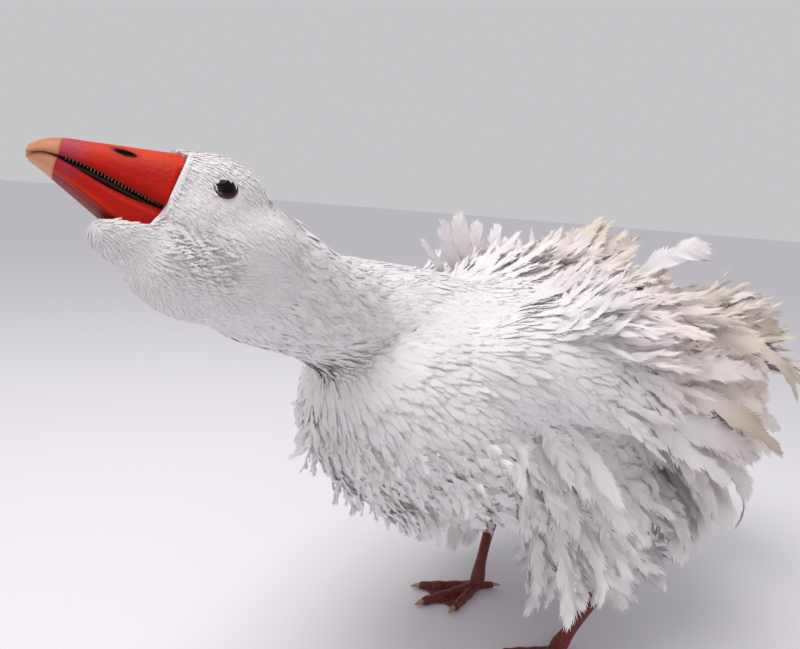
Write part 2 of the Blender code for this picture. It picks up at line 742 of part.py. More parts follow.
def feather_wing(wing, side, others, draw):
    core = tree_of(wing)
    frame = wing_frame(side)
    inwards = frame.to_3x3() @ Vector((-side, 0, 0))
    radii = WING[1]
    laid = []
    pieces = []
    for row in WING_ROWS:
        name, bends, along, along_last, up, up_last, count, length, width, slope, slope_last, lift = row
        for index in range(count):
            share = index / (count - 1)
            y = (along + (along_last - along) * share) * radii[1]
            z = (up + (up_last - up) * share) * radii[2]
            start = frame @ Vector((0, y, z)) - OUTSIDE * inwards
            root, normal, face, far = core.ray_cast(start, inwards)
            if root is None:
                continue
            fall = math.radians(slope + (slope_last - slope) * share)
            out = (WING_SWELL * normal - inwards).normalized()
            ahead = along_skin(frame.to_3x3() @ Vector((0, math.cos(fall), -math.sin(fall))), out)
            size = (length * draw.uniform(0.9, 1.1), width * draw.uniform(0.92, 1.08), VANE_THICK)
            bend = drawn(bends, draw)
            bend[0] += lift
            bend[2] *= side
            piece = settled((root, ahead, out, size, bend), core, others, laid)
            if piece:
                pieces.append(piece)
    return fused(wing, pieces)


def build_tail(torso):
    bm = bmesh.new()
    centre, radii = TAIL
    swelling(bm, ((0, 0, 0), radii), Matrix.Translation(centre), detail=3)
    tail = thinned(made_from(bm, "tail"), TAIL_FACES)
    return largest(boolean(tail, "DIFFERENCE", grown(torso, GAP)))


def feather_tail(tail, others, draw):
    core = tree_of(tail)
    (x, y, z), radii = TAIL
    laid = []
    pieces = []
    for count, fan, length, width, slope, height in TAIL_ROWS:
        for index in range(count):
            turn = math.radians(-fan + 2 * fan * index / (count - 1) + draw.uniform(-3, 3))
            fall = math.radians(slope + draw.uniform(-5, 5))
            ahead = Vector((math.sin(turn), math.cos(turn) * math.cos(fall), -math.sin(fall))).normalized()
            start = Vector((x, y, z + height * radii[2]))
            root, out, face, far = core.ray_cast(start, Vector((math.sin(turn), math.cos(turn), 0.0)))
            if root is None:
                continue
            up = along_skin(Vector((0, 0, 1)), ahead)
            size = (length * draw.uniform(0.9, 1.12), width, VANE_THICK)
            sunk = root - TAIL_SINK * ahead + SINK * up
            piece = settled((sunk, ahead, up, size, drawn(TAIL_BEND, draw)), core, others, laid)
            if piece:
                pieces.append(piece)
    return fused(tail, pieces)


def finish(name, colour, roughness):
    material = bpy.data.materials.new(name)
    material.use_nodes = True
    shader = material.node_tree.nodes["Principled BSDF"]
    shader.inputs["Base Color"].default_value = colour
    shader.inputs["Roughness"].default_value = roughness
    carrier = bpy.data.objects[name]
    carrier.data.materials.clear()
    carrier.data.materials.append(material)


def colour_nodes():
    for carrier in list(bpy.data.objects):
        name = carrier.name
        if name.startswith("bill"):
            finish(name, RED, 0.38)
        elif name.startswith(("leg", "foot")):
            finish(name, RED, 0.5)
        elif name.startswith(("nail", "claw")):
            finish(name, HORN, 0.4)
        elif name.startswith("eye"):
            finish(name, DARK, 0.06)
        else:
            finish(name, WHITE, 0.85)


def settle_origin():
    """Moves every piece so that the origin is at the bottom centre of the goose's box."""
    corners = [carrier.matrix_world @ vertex.co
               for carrier in bpy.data.objects for vertex in carrier.data.vertices]
    low = [min(corner[axis] for corner in corners) for axis in range(3)]
    high = [max(corner[axis] for corner in corners) for axis in range(3)]
    shift = Vector(((low[0] + high[0]) / 2, (low[1] + high[1]) / 2, low[2]))
    for carrier in bpy.data.objects:
        carrier.location -= shift


def main():
    clear_scene()
    frame = head_frame()
    body = body_form()
    build_head(body, frame)
    build_eyes(frame)
    build_bill(frame)
    length_of_body(body, "neck_upper", NECK_MIDDLE, NECK_TOP, NECK_FACES)
    length_of_body(body, "neck_lower", NECK_BASE, NECK_MIDDLE, NECK_FACES)
    torso = length_of_body(body, "torso", None, NECK_BASE, TORSO_FACES)
    bpy.data.objects.remove(body)
    draw = random.Random(SEED)
    base = tree_of(torso)
    neck = tree_of(bpy.data.objects["neck_lower"])
    tail = build_tail(torso)
    legs = [build_leg(side, word, torso) for side, word in ((1, "left"), (-1, "right"))]
    for side, word in ((1, "left"), (-1, "right")):
        build_foot(side, word)
    wings = []
    for side, word in ((1, "left"), (-1, "right")):
        wing = build_wing(side, word, torso)
        wings.append(feather_wing(wing, side, [base, neck, tree_of(tail)], draw))
    feather_tail(tail, [base] + [tree_of(wing) for wing in wings], draw)
    feather_torso(torso, [neck, tree_of(tail)] + [tree_of(piece) for piece in wings + legs], draw)
    colour_nodes()
    settle_origin()


main()
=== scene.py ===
"""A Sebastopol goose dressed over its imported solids: skin, feathers, bill, eyes, legs, floor and light.

Metres, +Z up, the goose facing -Y with its left side at +X. Places are measured from the floor under the
middle of the trunk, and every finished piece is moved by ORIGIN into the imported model's frame.
"""

import math

import bmesh
import bpy
import numpy as np
from mathutils import Matrix, Vector
from mathutils.bvhtree import BVHTree


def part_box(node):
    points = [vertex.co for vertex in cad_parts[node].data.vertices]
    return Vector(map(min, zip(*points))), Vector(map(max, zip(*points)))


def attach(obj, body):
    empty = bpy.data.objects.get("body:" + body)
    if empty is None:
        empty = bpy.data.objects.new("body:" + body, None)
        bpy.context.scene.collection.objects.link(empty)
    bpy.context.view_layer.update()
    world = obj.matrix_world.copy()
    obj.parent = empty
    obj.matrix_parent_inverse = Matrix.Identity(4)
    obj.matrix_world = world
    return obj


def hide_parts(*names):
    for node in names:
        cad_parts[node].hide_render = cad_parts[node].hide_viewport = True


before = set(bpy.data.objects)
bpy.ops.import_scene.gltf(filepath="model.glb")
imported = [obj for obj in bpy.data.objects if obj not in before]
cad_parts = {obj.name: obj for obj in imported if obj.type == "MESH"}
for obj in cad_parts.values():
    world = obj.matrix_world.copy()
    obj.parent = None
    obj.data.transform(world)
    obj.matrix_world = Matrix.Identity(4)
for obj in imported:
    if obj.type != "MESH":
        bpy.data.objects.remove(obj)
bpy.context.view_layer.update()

# Body under the feathers: centre and radii of each swelling
BREAST = ((0.0, -0.118, 0.272), (0.108, 0.112, 0.104))
TRUNK = ((0.0, 0.020, 0.282), (0.118, 0.185, 0.112))
BELLY = ((0.0, 0.060, 0.232), (0.100, 0.150, 0.082))
RUMP = ((0.0, 0.165, 0.290), (0.078, 0.120, 0.072))
THIGH = ((0.072, 0.030, 0.192), (0.046, 0.066, 0.068))
SHOULDER = ((0.082, -0.050, 0.312), (0.044, 0.095, 0.058))
TAIL_ROOT = ((0.0, 0.286, 0.296), (0.048, 0.050, 0.021))
WING = ((0.104, 0.040, 0.316), (0.030, 0.142, 0.065))
WING_DROOP = 9.0  # degrees that a wing sinks towards its tip
WING_LEAN = 24.0  # degrees that its upper edge leans in
WING_CLOSE = 7.0  # degrees that its tip turns in
BODY_AXIS = 0.285  # height from which the angle of a place on the trunk is taken

# The neck's middle line from inside the breast to under the head, with its radius at each place
NECK_LINE = (
    ((0.000, -0.085, 0.300), 0.076),
    ((0.000, -0.160, 0.330), 0.060),
    ((0.008, -0.210, 0.348), 0.0465),
    ((0.050, -0.262, 0.367), 0.0380),
    ((0.090, -0.312, 0.386), 0.0352),
    ((0.113, -0.344, 0.401), 0.0322),
    ((0.122, -0.357, 0.406), 0.0282),
    ((0.129, -0.367, 0.409), 0.0200),
)
# Where the nape fills the bend between the head and the neck: middle line and radius
NAPE_LINE = (
    ((0.112, -0.334, 0.420), 0.0240),
    ((0.099, -0.316, 0.401), 0.0325),
    ((0.073, -0.288, 0.381), 0.0368),
    ((0.050, -0.262, 0.367), 0.0380),
)
# Planes where the neck leaves the breast and meets the head: a place and the way towards the head
NECK_BASE = (Vector((0.0, -0.141, 0.369)), Vector((0.0, -0.41, 0.91)).normalized())
NECK_TOP = (Vector((0.100, -0.318, 0.395)), Vector((0.52, -0.74, 0.42)).normalized())
# The body's middle line from behind the tail to inside the breast, which the neck's line goes on from
BODY_LINE = ((0.0, 0.400, 0.300), (0.0, 0.280, 0.296), (0.0, 0.100, 0.280), (0.0, -0.060, 0.285))

# The head's own frame, midway between the eyes: -Y is the way the bill points and +Z is the crown
HEAD_PLACE = Vector((0.114, -0.346, 0.434))
HEAD_HEADING = 8.2
HEAD_LIFT = 17.0
HEAD_ROLL = 17.0
SKULL = ((0.0, -0.001, 0.0012), (0.0230, 0.0292, 0.0216))
FACE = ((0.0, -0.020, -0.0022), (0.0188, 0.0238, 0.0198))
CHEEKS = ((0.0, -0.004, -0.016), (0.0240, 0.0275, 0.0235))
THROAT = ((0.0, 0.001, -0.0420), (0.0232, 0.0372, 0.0242))
CHIN = ((0.0, -0.0268, -0.0346), (0.0190, 0.0275, 0.0160))
NAPE = ((0.0, 0.0200, -0.0180), (0.0215, 0.0310, 0.0215))
BILL_ROOT = (0.0, -0.045, -0.010)  # where the line ends along which the skin is laid flat
EYE_RADIUS = 0.0076
EYE_SHOWN = 0.0055  # radius of the part that shows between the lids
EYE_APART = 0.0165
EYE_FACING = 80.0
EYE_CLEARING = 1.22  # radius round the eye with no feathers, as a share of EYE_SHOWN
LID_THICKNESS = 0.0006

# The bill: distance ahead of the eyes, half width, heights of culmen, mouth line and keel
BILL_STATIONS = (
    (0.008, 0.0180, 0.0160, -0.0190, -0.0400),
    (0.024, 0.0175, 0.0150, -0.0178, -0.0385),
    (0.036, 0.0160, 0.0120, -0.0155, -0.0345),
    (0.050, 0.0142, 0.0082, -0.0125, -0.0288),
    (0.062, 0.0128, 0.0048, -0.0105, -0.0232),
    (0.073, 0.0114, 0.0018, -0.0098, -0.0184),
    (0.081, 0.0090, -0.0020, -0.0103, -0.0152),
    (0.0865, 0.0042, -0.0068, -0.0118, -0.0138),
)
BILL_SIZES = {"half": 1, "mouth": 3, "keel": 4}  # columns of the stations that are looked up by name
MOUTH_GAP = 0.0042
JAW_SHARE = 0.90  # width of the lower half of the bill as a share of the upper one
NAIL_LINE = 0.0735  # distance ahead of the eyes where the nail starts
# The feather line round the bill, seen from the side: distance ahead of the eyes and height
FEATHER_LINE = (
    (0.0300, 0.060),
    (0.0290, 0.0162),
    (0.0196, 0.0148),
    (0.0238, -0.018),
    (0.0285, -0.0300),
    (0.0480, -0.0322),
    (0.110, -0.0450),
)
BILL_SPACE_CORNER = (0.110, 0.060)  # ahead and above, where the bare space round the bill closes
BILL_SPACE_REACH = 0.060
NOSTRIL = ((0.0128, -0.048, 0.0025), (0.0030, 0.0062, 0.0020))
# The toothed edge inside the mouth, on each side
LAMELLAE = 26
LAMELLA_START = 0.030
LAMELLA_STEP = 0.0016
LAMELLAE_OPEN = (0.042, 0.060)  # where the mouth is open wide enough to show them at full size

# The legs on the goose's left: middle line and radius
LEG_LINE = (
    ((0.072, 0.036, 0.160), 0.0140),
    ((0.078, 0.052, 0.118), 0.0115),
    ((0.084, 0.061, 0.086), 0.0100),
    ((0.079, 0.051, 0.062), 0.0066),
    ((0.071, 0.037, 0.032), 0.0062),
    ((0.066, 0.030, 0.014), 0.0085),
    ((0.064, 0.028, 0.007), 0.0078),
)
ANKLE = Vector((0.064, 0.028, 0.0))
TOES = (  # name, length without claw, degrees outwards from straight ahead, thickness
    ("inner", 0.058, -24.0, 0.0050),
    ("middle", 0.078, 1.0, 0.0054),
    ("outer", 0.070, 25.0, 0.0050),
    ("hind", 0.020, -158.0, 0.0040),
)
TOE_LIFT = 0.0042
# Pads and joints of a toe, then its claw: place along it, and radius as a share of the toe's thickness
TOE_SHAPE = ((-0.06, 1.25), (0.10, 1.05), (0.26, 0.98), (0.38, 1.14), (0.52, 0.94), (0.66, 1.10),
             (0.80, 0.90), (0.92, 0.98), (1.0, 0.62))
CLAW_SHAPE = ((0.0, 0.56), (0.3, 0.52), (0.6, 0.40), (0.85, 0.22), (1.0, 0.07))
CLAW = 0.0095
CLAW_ROOT = 0.002  # length of each claw inside its toe
WEB_TIPS = 0.93  # how far the web reaches towards the toes' tips
WEB_HOLLOWS = 0.82  # and how far between two toes
WEB_BOTTOM = 0.0010
WEB_THICKNESS = 0.0022

# Feather rows of each wing: kind, place along and up the wing as shares of its half length and height,
# first and last, how many, length, width, degrees that they slope down at first and last, and lift
WING_ROWS = (
    ("flight", 0.50, 0.66, -0.50, 0.20, 8, 0.150, 0.031, 16, 2, 4),
    ("flight", 0.10, 0.44, -0.76, 0.56, 10, 0.138, 0.037, 24, -2, 7),
    ("covert", -0.24, 0.14, -0.74, 0.50, 9, 0.118, 0.037, 27, 0, 10),
    ("ribbon", -0.60, -0.30, -0.56, 0.60, 22, 0.080, 0.012, 34, 6, 12),
    ("ribbon", -0.50, 0.50, 0.66, 0.66, 30, 0.095, 0.013, 16, -6, 14),
    ("ribbon", -0.55, 0.35, 0.84, 0.80, 30, 0.090, 0.013, 12, -10, 16),
)
TAIL_ROWS = (  # kind, feathers, fan half angle, length, width, slope down, height on the tail's root
    ("flight", 9, 50.0, 0.098, 0.030, 8.0, -0.30),
    ("flight", 8, 44.0, 0.094, 0.030, 2.0, 0.25),
    ("covert", 11, 44.0, 0.062, 0.024, -8.0, 0.60),
    ("ribbon", 10, 60.0, 0.050, 0.016, -14.0, 0.80),
)
TAIL_SINK = 0.012  # length of each tail feather inside the tail's root

# Single large feathers on the left side: root, middle, tip, the way the face looks, width, cream, beige
GREAT_FLIGHT = (
    ((0.118, 0.000, 0.318), (0.148, 0.075, 0.322), (0.152, 0.152, 0.310), (0.9, -0.1, 0.5), 0.030, 0.3, 0.1),
    ((0.116, -0.004, 0.300), (0.156, 0.080, 0.290), (0.176, 0.166, 0.240), (0.9, -0.1, 0.4), 0.030, 0.4, 0.9),
    ((0.118, -0.004, 0.284), (0.156, 0.070, 0.268), (0.165, 0.148, 0.232), (0.9, -0.1, 0.3), 0.036, 0.2, 0.2),
    ((0.110, -0.052, 0.320), (0.148, 0.016, 0.276), (0.150, 0.092, 0.194), (0.9, 0.0, 0.3), 0.028, 0.1, 0.0),
    ((0.112, 0.010, 0.262), (0.148, 0.065, 0.232), (0.152, 0.120, 0.176), (0.9, 0.0, 0.2), 0.034, 0.2, 0.1),
)
GREAT_COVERT = (
    ((0.094, 0.108, 0.338), (0.112, 0.140, 0.345), (0.127, 0.166, 0.372), (0.7, -0.6, 0.5), 0.030, 0.1, 0.0),
    ((0.100, 0.112, 0.334), (0.122, 0.148, 0.336), (0.134, 0.176, 0.330), (0.8, -0.3, 0.6), 0.026, 0.2, 0.0),
    ((0.104, 0.130, 0.345), (0.126, 0.168, 0.352), (0.140, 0.192, 0.348), (0.7, -0.3, 0.6), 0.026, 0.7, 0.9),
    ((0.108, 0.140, 0.330), (0.142, 0.180, 0.325), (0.162, 0.205, 0.284), (0.8, -0.2, 0.5), 0.016, 0.6, 0.8),
    ((0.104, 0.150, 0.326), (0.136, 0.192, 0.322), (0.160, 0.214, 0.296), (0.8, -0.2, 0.5), 0.014, 0.6, 0.8),
    ((0.060, 0.080, 0.388), (0.072, 0.112, 0.414), (0.086, 0.140, 0.414), (0.4, -0.7, 0.6), 0.034, 0.1, 0.0),
    ((0.100, 0.085, 0.240), (0.126, 0.120, 0.198), (0.134, 0.150, 0.144), (0.9, 0.1, 0.3), 0.036, 0.1, 0.0),
    ((0.100, 0.112, 0.248), (0.128, 0.146, 0.210), (0.138, 0.174, 0.164), (0.9, 0.1, 0.3), 0.034, 0.1, 0.0),
    ((0.098, 0.062, 0.228), (0.122, 0.096, 0.178), (0.128, 0.122, 0.130), (0.9, 0.1, 0.3), 0.034, 0.1, 0.0),
    ((0.094, 0.092, 0.226), (0.118, 0.130, 0.182), (0.122, 0.164, 0.130), (0.9, 0.1, 0.3), 0.036, 0.1, 0.0),
    ((0.094, 0.110, 0.235), (0.120, 0.150, 0.190), (0.128, 0.192, 0.138), (0.9, 0.1, 0.3), 0.044, 0.1, 0.0),
    ((0.096, 0.130, 0.250), (0.126, 0.170, 0.215), (0.136, 0.204, 0.172), (0.9, 0.1, 0.3), 0.040, 0.1, 0.0),
    ((0.090, 0.070, 0.215), (0.114, 0.108, 0.162), (0.118, 0.138, 0.108), (0.9, 0.1, 0.3), 0.044, 0.1, 0.0),
    ((0.088, 0.100, 0.215), (0.110, 0.140, 0.165), (0.112, 0.176, 0.112), (0.9, 0.1, 0.3), 0.044, 0.1, 0.0),
)
GREAT_RIBBON = (
    ((0.073, 0.080, 0.372), (0.100, 0.125, 0.378), (0.128, 0.170, 0.362), (0.5, -0.2, 0.8), 0.013, 0.6, 0.9),
    ((0.078, 0.086, 0.366), (0.108, 0.134, 0.368), (0.133, 0.184, 0.346), (0.5, -0.2, 0.8), 0.013, 0.6, 0.9),
    ((0.108, 0.128, 0.356), (0.120, 0.160, 0.380), (0.136, 0.182, 0.368), (0.4, -0.5, 0.7), 0.010, 0.3, 0.1),
    ((0.132, 0.104, 0.232), (0.158, 0.140, 0.200), (0.152, 0.156, 0.156), (0.9, 0.2, 0.2), 0.006, 0.2, 0.5),
)
GREAT_FEATHERS = {"flight": GREAT_FLIGHT, "covert": GREAT_COVERT, "ribbon": GREAT_RIBBON}
# Tufts that stand up on the back and on the right wing: root, tip, width, cream and beige
TUFTS = {
    "covert": (
        ((-0.084, -0.030, 0.372), (-0.088, -0.052, 0.424), 0.022, 0.0, 0.0),
        ((-0.082, -0.016, 0.374), (-0.090, -0.030, 0.432), 0.024, 0.0, 0.0),
        ((-0.080, 0.000, 0.376), (-0.090, -0.006, 0.426), 0.020, 0.0, 0.0),
        ((-0.078, 0.016, 0.378), (-0.088, 0.022, 0.424), 0.020, 0.0, 0.0),
    ),
    "ribbon": (
        ((-0.086, -0.040, 0.368), (-0.094, -0.070, 0.404), 0.012, 0.0, 0.0),
        ((-0.084, 0.026, 0.372), (-0.092, 0.040, 0.412), 0.012, 0.0, 0.0),
        ((0.004, 0.050, 0.392), (0.012, 0.086, 0.438), 0.022, 0.8, 0.25),
        ((0.006, 0.036, 0.392), (0.000, 0.080, 0.440), 0.022, 0.8, 0.20),
        ((-0.004, 0.030, 0.392), (-0.016, 0.070, 0.428), 0.020, 0.8, 0.15),
        ((0.010, 0.062, 0.390), (0.020, 0.100, 0.430), 0.020, 0.7, 0.15),
        ((0.014, 0.070, 0.388), (0.034, 0.102, 0.424), 0.018, 0.7, 0.10),
    ),
}
TUFT_FACE = (0.5, -0.8, 0.3)
TUFT_BOW = 0.006

# Kinds that grow evenly over the skin: spacing, shortest and longest, width as a share of the length, and
# how many random places are tried
GROWTH = {
    "plush": (0.00105, 0.0040, 0.0062, 0.22, 60000),
    "nape": (0.0023, 0.0120, 0.0190, 0.23, 36000),
    "breast": (0.0034, 0.0240, 0.0380, 0.24, 30000),
    "fringe": (0.0076, 0.0400, 0.0660, 0.34, 9000),
    "hanging": (0.0080, 0.0560, 0.0940, 0.26, 14000),
    "flank": (0.0100, 0.0580, 0.0920, 0.34, 8000),
    "mantle": (0.0050, 0.0400, 0.0780, 0.15, 20000),
    "crest": (0.0075, 0.0460, 0.0820, 0.20, 10000),
}
# Shape of every kind: lobes on each side, ranges in degrees for lift, curl, sway and twist, droop, how far
# the barbs part, and cup
KINDS = {
    "plush": (2, (2, 7), (-6, 6), (-8, 8), (-10, 10), 0.00, 0.25, 0.10),
    "nape": (5, (2, 8), (-14, 6), (-8, 8), (-12, 12), 0.05, 0.35, 0.14),
    "breast": (6, (2, 5), (-12, 4), (-8, 8), (-10, 10), 0.05, 0.35, 0.08),
    "fringe": (12, (6, 30), (-95, 70), (-48, 48), (-80, 80), 0.34, 0.90, 0.20),
    "hanging": (14, (5, 26), (-90, 70), (-44, 44), (-80, 80), 0.34, 0.80, 0.20),
    "flank": (13, (3, 10), (-30, 10), (-16, 16), (-26, 26), 0.16, 0.40, 0.14),
    "mantle": (11, (3, 12), (-60, 60), (-70, 70), (-70, 70), 0.05, 0.95, 0.14),
    "crest": (12, (6, 20), (-50, 50), (-44, 44), (-70, 70), 0.03, 0.80, 0.16),
    "flight": (20, (-2, 2), (-24, 8), (-8, 6), (-18, 18), 0.08, 0.60, 0.10),
    "covert": (14, (-2, 6), (-24, 26), (-18, 12), (-30, 30), 0.10, 0.50, 0.14),
    "ribbon": (16, (-4, 12), (-60, 80), (-50, 40), (-110, 110), 0.08, 1.00, 0.14),
}
SMALL_KINDS = ("plush", "nape")  # the kinds that lie in furrows
# Least and most height over the skin at a feather's tip, as shares of its length. 9.0 leaves it free
DRAPE = {"plush": (0.05, 0.15), "nape": (0.04, 0.16), "breast": (0.015, 0.055), "flank": (0.04, 0.24),
         "mantle": (0.04, 0.45), "fringe": (0.03, 9.0), "hanging": (0.03, 9.0), "crest": (0.03, 9.0),
         "ribbon": (0.06, 9.0), "covert": (0.05, 0.40)}
# Half width along a feather: shares of its length, and of its widest place
OUTLINE = ((0.0, 0.15, 0.40, 0.70, 0.88, 1.0), (0.30, 0.64, 0.96, 1.00, 0.70, 0.14))
# Directions and closeness of the waves in which neighbouring feathers lift, curl, sway and twist together
WAVES = (((60.0, 90.0, 40.0), (-130.0, 50.0, 150.0)), ((40.0, 110.0, -70.0), (150.0, -60.0, 120.0)),
         ((-70.0, 95.0, 90.0), (120.0, 170.0, -50.0)), ((90.0, -60.0, 80.0), (-60.0, 150.0, 140.0)))
WAVE_SHARE = 0.60  # how much of a bend is shared with the neighbours
SINK = 0.05  # how deep a root lies in the skin, as a share of the feather's length
BARB_LEAN = (30.0, 66.0)  # degrees that a barb leans forwards from straight across, at root and tip
BARB_ENDS = (0.35, 0.85)  # where two barbs end past the edge of each lobe, as shares of the lobe
FURROWS = 17.0  # waves over the width of the skin laid flat, which makes about 16 ridges round the neck
FURROW_TURN = 0.28  # how strongly a feather turns towards the nearest ridge
FURROW_DEPTH = 0.0013  # half the height of a ridge over a furrow
FURROW_PROBE = 0.0008  # how far to each side the nearest ridge is felt for
FURROW_WAVER = 0.35  # how far a ridge wanders, as a share of the distance between two ridges
NECK_RELIEF = 0.46  # how strong the ridges are on the neck
CHEEK_RELIEF = 0.95  # and on the cheek
# The cheek's finer ridges: height in the head's frame, front and back edge, and closeness
CHEEK_HEIGHT = -0.038
CHEEK_FRONT = -0.022
CHEEK_BACK = 0.026
CHEEK_RIDGES = 1500.0

# Where one kind of feather gives way to the next: places along the body, and degrees up its side
NECK_FROM = -0.120
FRINGE_TO = -0.095
CREST_FROM = -0.075
WING_BREAST_TO = -0.060
BREAST_TO = -0.055
MANTLE_TO = 0.02
CREST_ANGLE = 50.0
WING_REACH = 1.12  # the wing's own feathers grow this far out, as a share of its half sizes
BREAST_ON_NECK = 0.020  # how far the breast's feathers reach up the neck
# Upper edge of the hanging feathers: place along the body, and degrees up its side
HEM = ((-0.30, -34.0), (-0.205, -16.0), (-0.165, -8.0), (-0.125, -2.0), (-0.085, 2.0), (-0.045, 0.0),
       (0.04, -10.0), (0.085, -14.0), (0.13, -12.0), (0.175, -8.0), (0.215, -4.0), (0.25, 4.0), (0.32, 10.0))
# Where the hanging feathers are shorter or longer: change, place along the body, and reach
HANGING_CHANGES = ((-0.22, 0.045, 0.035), (0.16, 0.15, 0.05), (0.32, -0.065, 0.035))
# The way other feathers lie: outwards from the body, towards the tail, and up
LIES = {"flank": (0.10, 0.86, -0.42), "mantle": (0.12, 1.0, -0.06), "crest": (0.12, 1.0, -0.06)}

# Colours of the plumage, the grey-green of the painted shade, and how much painted shade darkens a feather at
# its root, where the feathers over it shade it
WHITE = np.array((0.83, 0.79, 0.80))
CREAM = np.array((0.74, 0.63, 0.54))
BEIGE = np.array((0.42, 0.33, 0.22))
SHADE = np.array((0.38, 0.43, 0.40))
SKIN_SHADE = 0.10  # how much more painted shade the skin has than the coat over it, which shades it
ROOT_SHADE = {"plush": 0.10, "nape": 0.14, "breast": 0.08, "mantle": 0.26, "crest": 0.22}
OTHER_ROOT_SHADE = 0.36
TINT = 0.016  # spread of lightness from feather to feather

# Colours of bare parts
BILL_RED = np.array((0.44, 0.008, 0.002))
BILL_ORANGE = np.array((0.66, 0.040, 0.004))
# Painted shade on the underside of the lower half of the bill
BILL_UNDERSIDE_SHADE = np.array((0.13, 0.005, 0.003))
BILL_PINK = np.array((0.36, 0.05, 0.10))
NAIL_PALE = np.array((0.60, 0.27, 0.14))
NAIL_BROWN = np.array((0.46, 0.14, 0.045))
EYE_BLACK = np.array((0.006, 0.004, 0.004))
EYE_BROWN = np.array((0.060, 0.008, 0.005))
LID_RED = (0.050, 0.007, 0.005)
LAMELLA_HORN = (0.20, 0.13, 0.07)
# Near black: painted shade inside the open mouth
MOUTH_SHADE = (0.016, 0.006, 0.006)
LEG_RED = (0.15, 0.013, 0.006)
CLAW_HORN = (0.40, 0.24, 0.15)

# Finishes under the paint: roughness, relief, closeness of the mottling, depth of the relief, how strong
# the mottling is, and shine
FINISHES = {
    "down": (0.9, "grain", 80.0, 0.4, 0.10, 0.15),
    "bill": (0.42, "grain", 90.0, 0.30, 0.26, 0.10),
    "bill nail": (0.42, "grain", 90.0, 0.15, 0.14, 0.3),
    "mouth": (0.5, "grain", 300.0, 0.3, 0.2, 0.5),
    "eye": (0.10, "grain", 200.0, 0.0, 0.1, 0.10),
    "eyelid": (0.5, "grain", 600.0, 0.4, 0.2, 0.5),
    "leg scales": (0.45, "scutes", 240.0, 0.7, 0.25, 0.5),
    "claw horn": (0.4, "grain", 200.0, 0.2, 0.15, 0.5),
}
BARBS_PER_METRE = 900.0
PATCH = 0.003  # side of each feather's patch on the skin laid flat
SKIN_VOXEL = 0.0028
SKIN_SMOOTHING = 16
FOOT_VOXEL = 0.0011
FOOT_SMOOTHING = 4
SEED = 11

# The camera, as it stood to the goose
CAMERA_PLACE = Vector((0.460, -0.449, 0.440))
CAMERA_TURN = 57.0  # degrees that it looks towards the goose's right from straight along +Y
CAMERA_PITCH = 10.6
CAMERA_ROLL = 4.5
CAMERA_LENS = 29.25

# The floor, and an overcast sky: lamps have a name, place, aim, size, power and colour
FLOOR_RADIUS = 40.0
FLOOR_GAP = 0.0002
FLOOR_COLOUR = (0.84, 0.82, 0.85, 1.0)
SKY_COLOUR = (0.84, 0.84, 0.87, 1.0)
SKY_STRENGTH = 0.68
LAMPS = (
    ("sky from above", (0.1, -0.5, 1.9), (0.0, 0.0, 0.25), 1.5, 23.0, (1.0, 0.97, 0.97)),
    ("soft side", (1.8, -1.3, 1.2), (0.0, 0.0, 0.25), 1.4, 3.0, (0.96, 0.97, 1.0)),
)


def turn_about(degrees, axis):
    return Matrix.Rotation(math.radians(degrees), 4, axis)


HEAD = Matrix.Translation(HEAD_PLACE) @ turn_about(-HEAD_HEADING, "Z")
HEAD = HEAD @ turn_about(-HEAD_LIFT, "X") @ turn_about(-HEAD_ROLL, "Y")
HEAD_TURN = np.array(HEAD)[:3, :3]
EYE_LOW, EYE_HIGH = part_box("eye_left")
ORIGIN = (EYE_LOW + EYE_HIGH) / 2 - HEAD @ Vector((EYE_APART, 0.0, 0.0))


def linked(name, mesh):
    made = bpy.data.objects.new(name, mesh)
    bpy.context.scene.collection.objects.link(made)
    return made


def made_from(bm, name="form"):
    bmesh.ops.recalc_face_normals(bm, faces=bm.faces[:])
    mesh = bpy.data.meshes.new(name)
    bm.to_mesh(mesh)
    bm.free()
    return linked(name, mesh)


def applied(carrier):
    graph = bpy.context.evaluated_depsgraph_get()
    mesh = bpy.data.meshes.new_from_object(carrier.evaluated_get(graph))
    carrier.modifiers.clear()
    carrier.data = mesh
    return carrier


def boolean(target, operation, tool):
    change = target.modifiers.new("Boolean", "BOOLEAN")
    change.operation = operation
    change.solver = "EXACT"
    change.object = tool
    applied(target)
    bpy.data.objects.remove(tool)


def remeshed(carrier, voxel, rounds):
    """The carrier's forms melted into one smooth closed surface."""
    remesh = carrier.modifiers.new("Remesh", "REMESH")
    remesh.mode = "VOXEL"
    remesh.voxel_size = voxel
    smooth = carrier.modifiers.new("Smooth", "SMOOTH")
    smooth.factor = 0.5
    smooth.iterations = rounds
    return applied(carrier)


def show(piece, material, slot, *nodes):
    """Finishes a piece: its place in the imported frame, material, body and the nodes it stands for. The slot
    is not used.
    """
    piece.data.transform(Matrix.Translation(ORIGIN))
    piece.data.materials.clear()
    piece.data.materials.append(material)
    piece.data.shade_smooth()
    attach(piece, "root")
    if nodes:
        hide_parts(*nodes)


def paint(mesh, colours):
    attribute = mesh.color_attributes.new("plumage", "FLOAT_COLOR", "POINT")
    full = np.concatenate([colours, np.ones((len(colours), 1))], 1)
    attribute.data.foreach_set("color", full.astype(np.float32).ravel())


def plain(piece, colour):
    """The piece, painted in one colour."""
    paint(piece.data, np.tile(np.array(colour), (len(piece.data.vertices), 1)))
    return piece


def blend(colour, other, share):
    return colour + (other - colour) * share


def rise(values, start, width):
    """0 up to the start, and 1 from a width further on."""
    return np.clip((values - start) / width, 0, 1)


def vertex_values(mesh, field):
    """Three numbers for each vertex of a mesh, such as its place or its normal."""
    values = np.zeros(len(mesh.vertices) * 3, np.float32)
    mesh.vertices.foreach_get(field, values)
    return values.reshape(-1, 3).astype(float)


def swelling(bm, form, place=Matrix.Identity(4), side=1, detail=5):
    (x, y, z), radii = form
    matrix = place @ Matrix.Translation((side * x, y, z)) @ Matrix.Diagonal((*radii, 1.0))
    bmesh.ops.create_icosphere(bm, subdivisions=detail, radius=1.0, matrix=matrix)


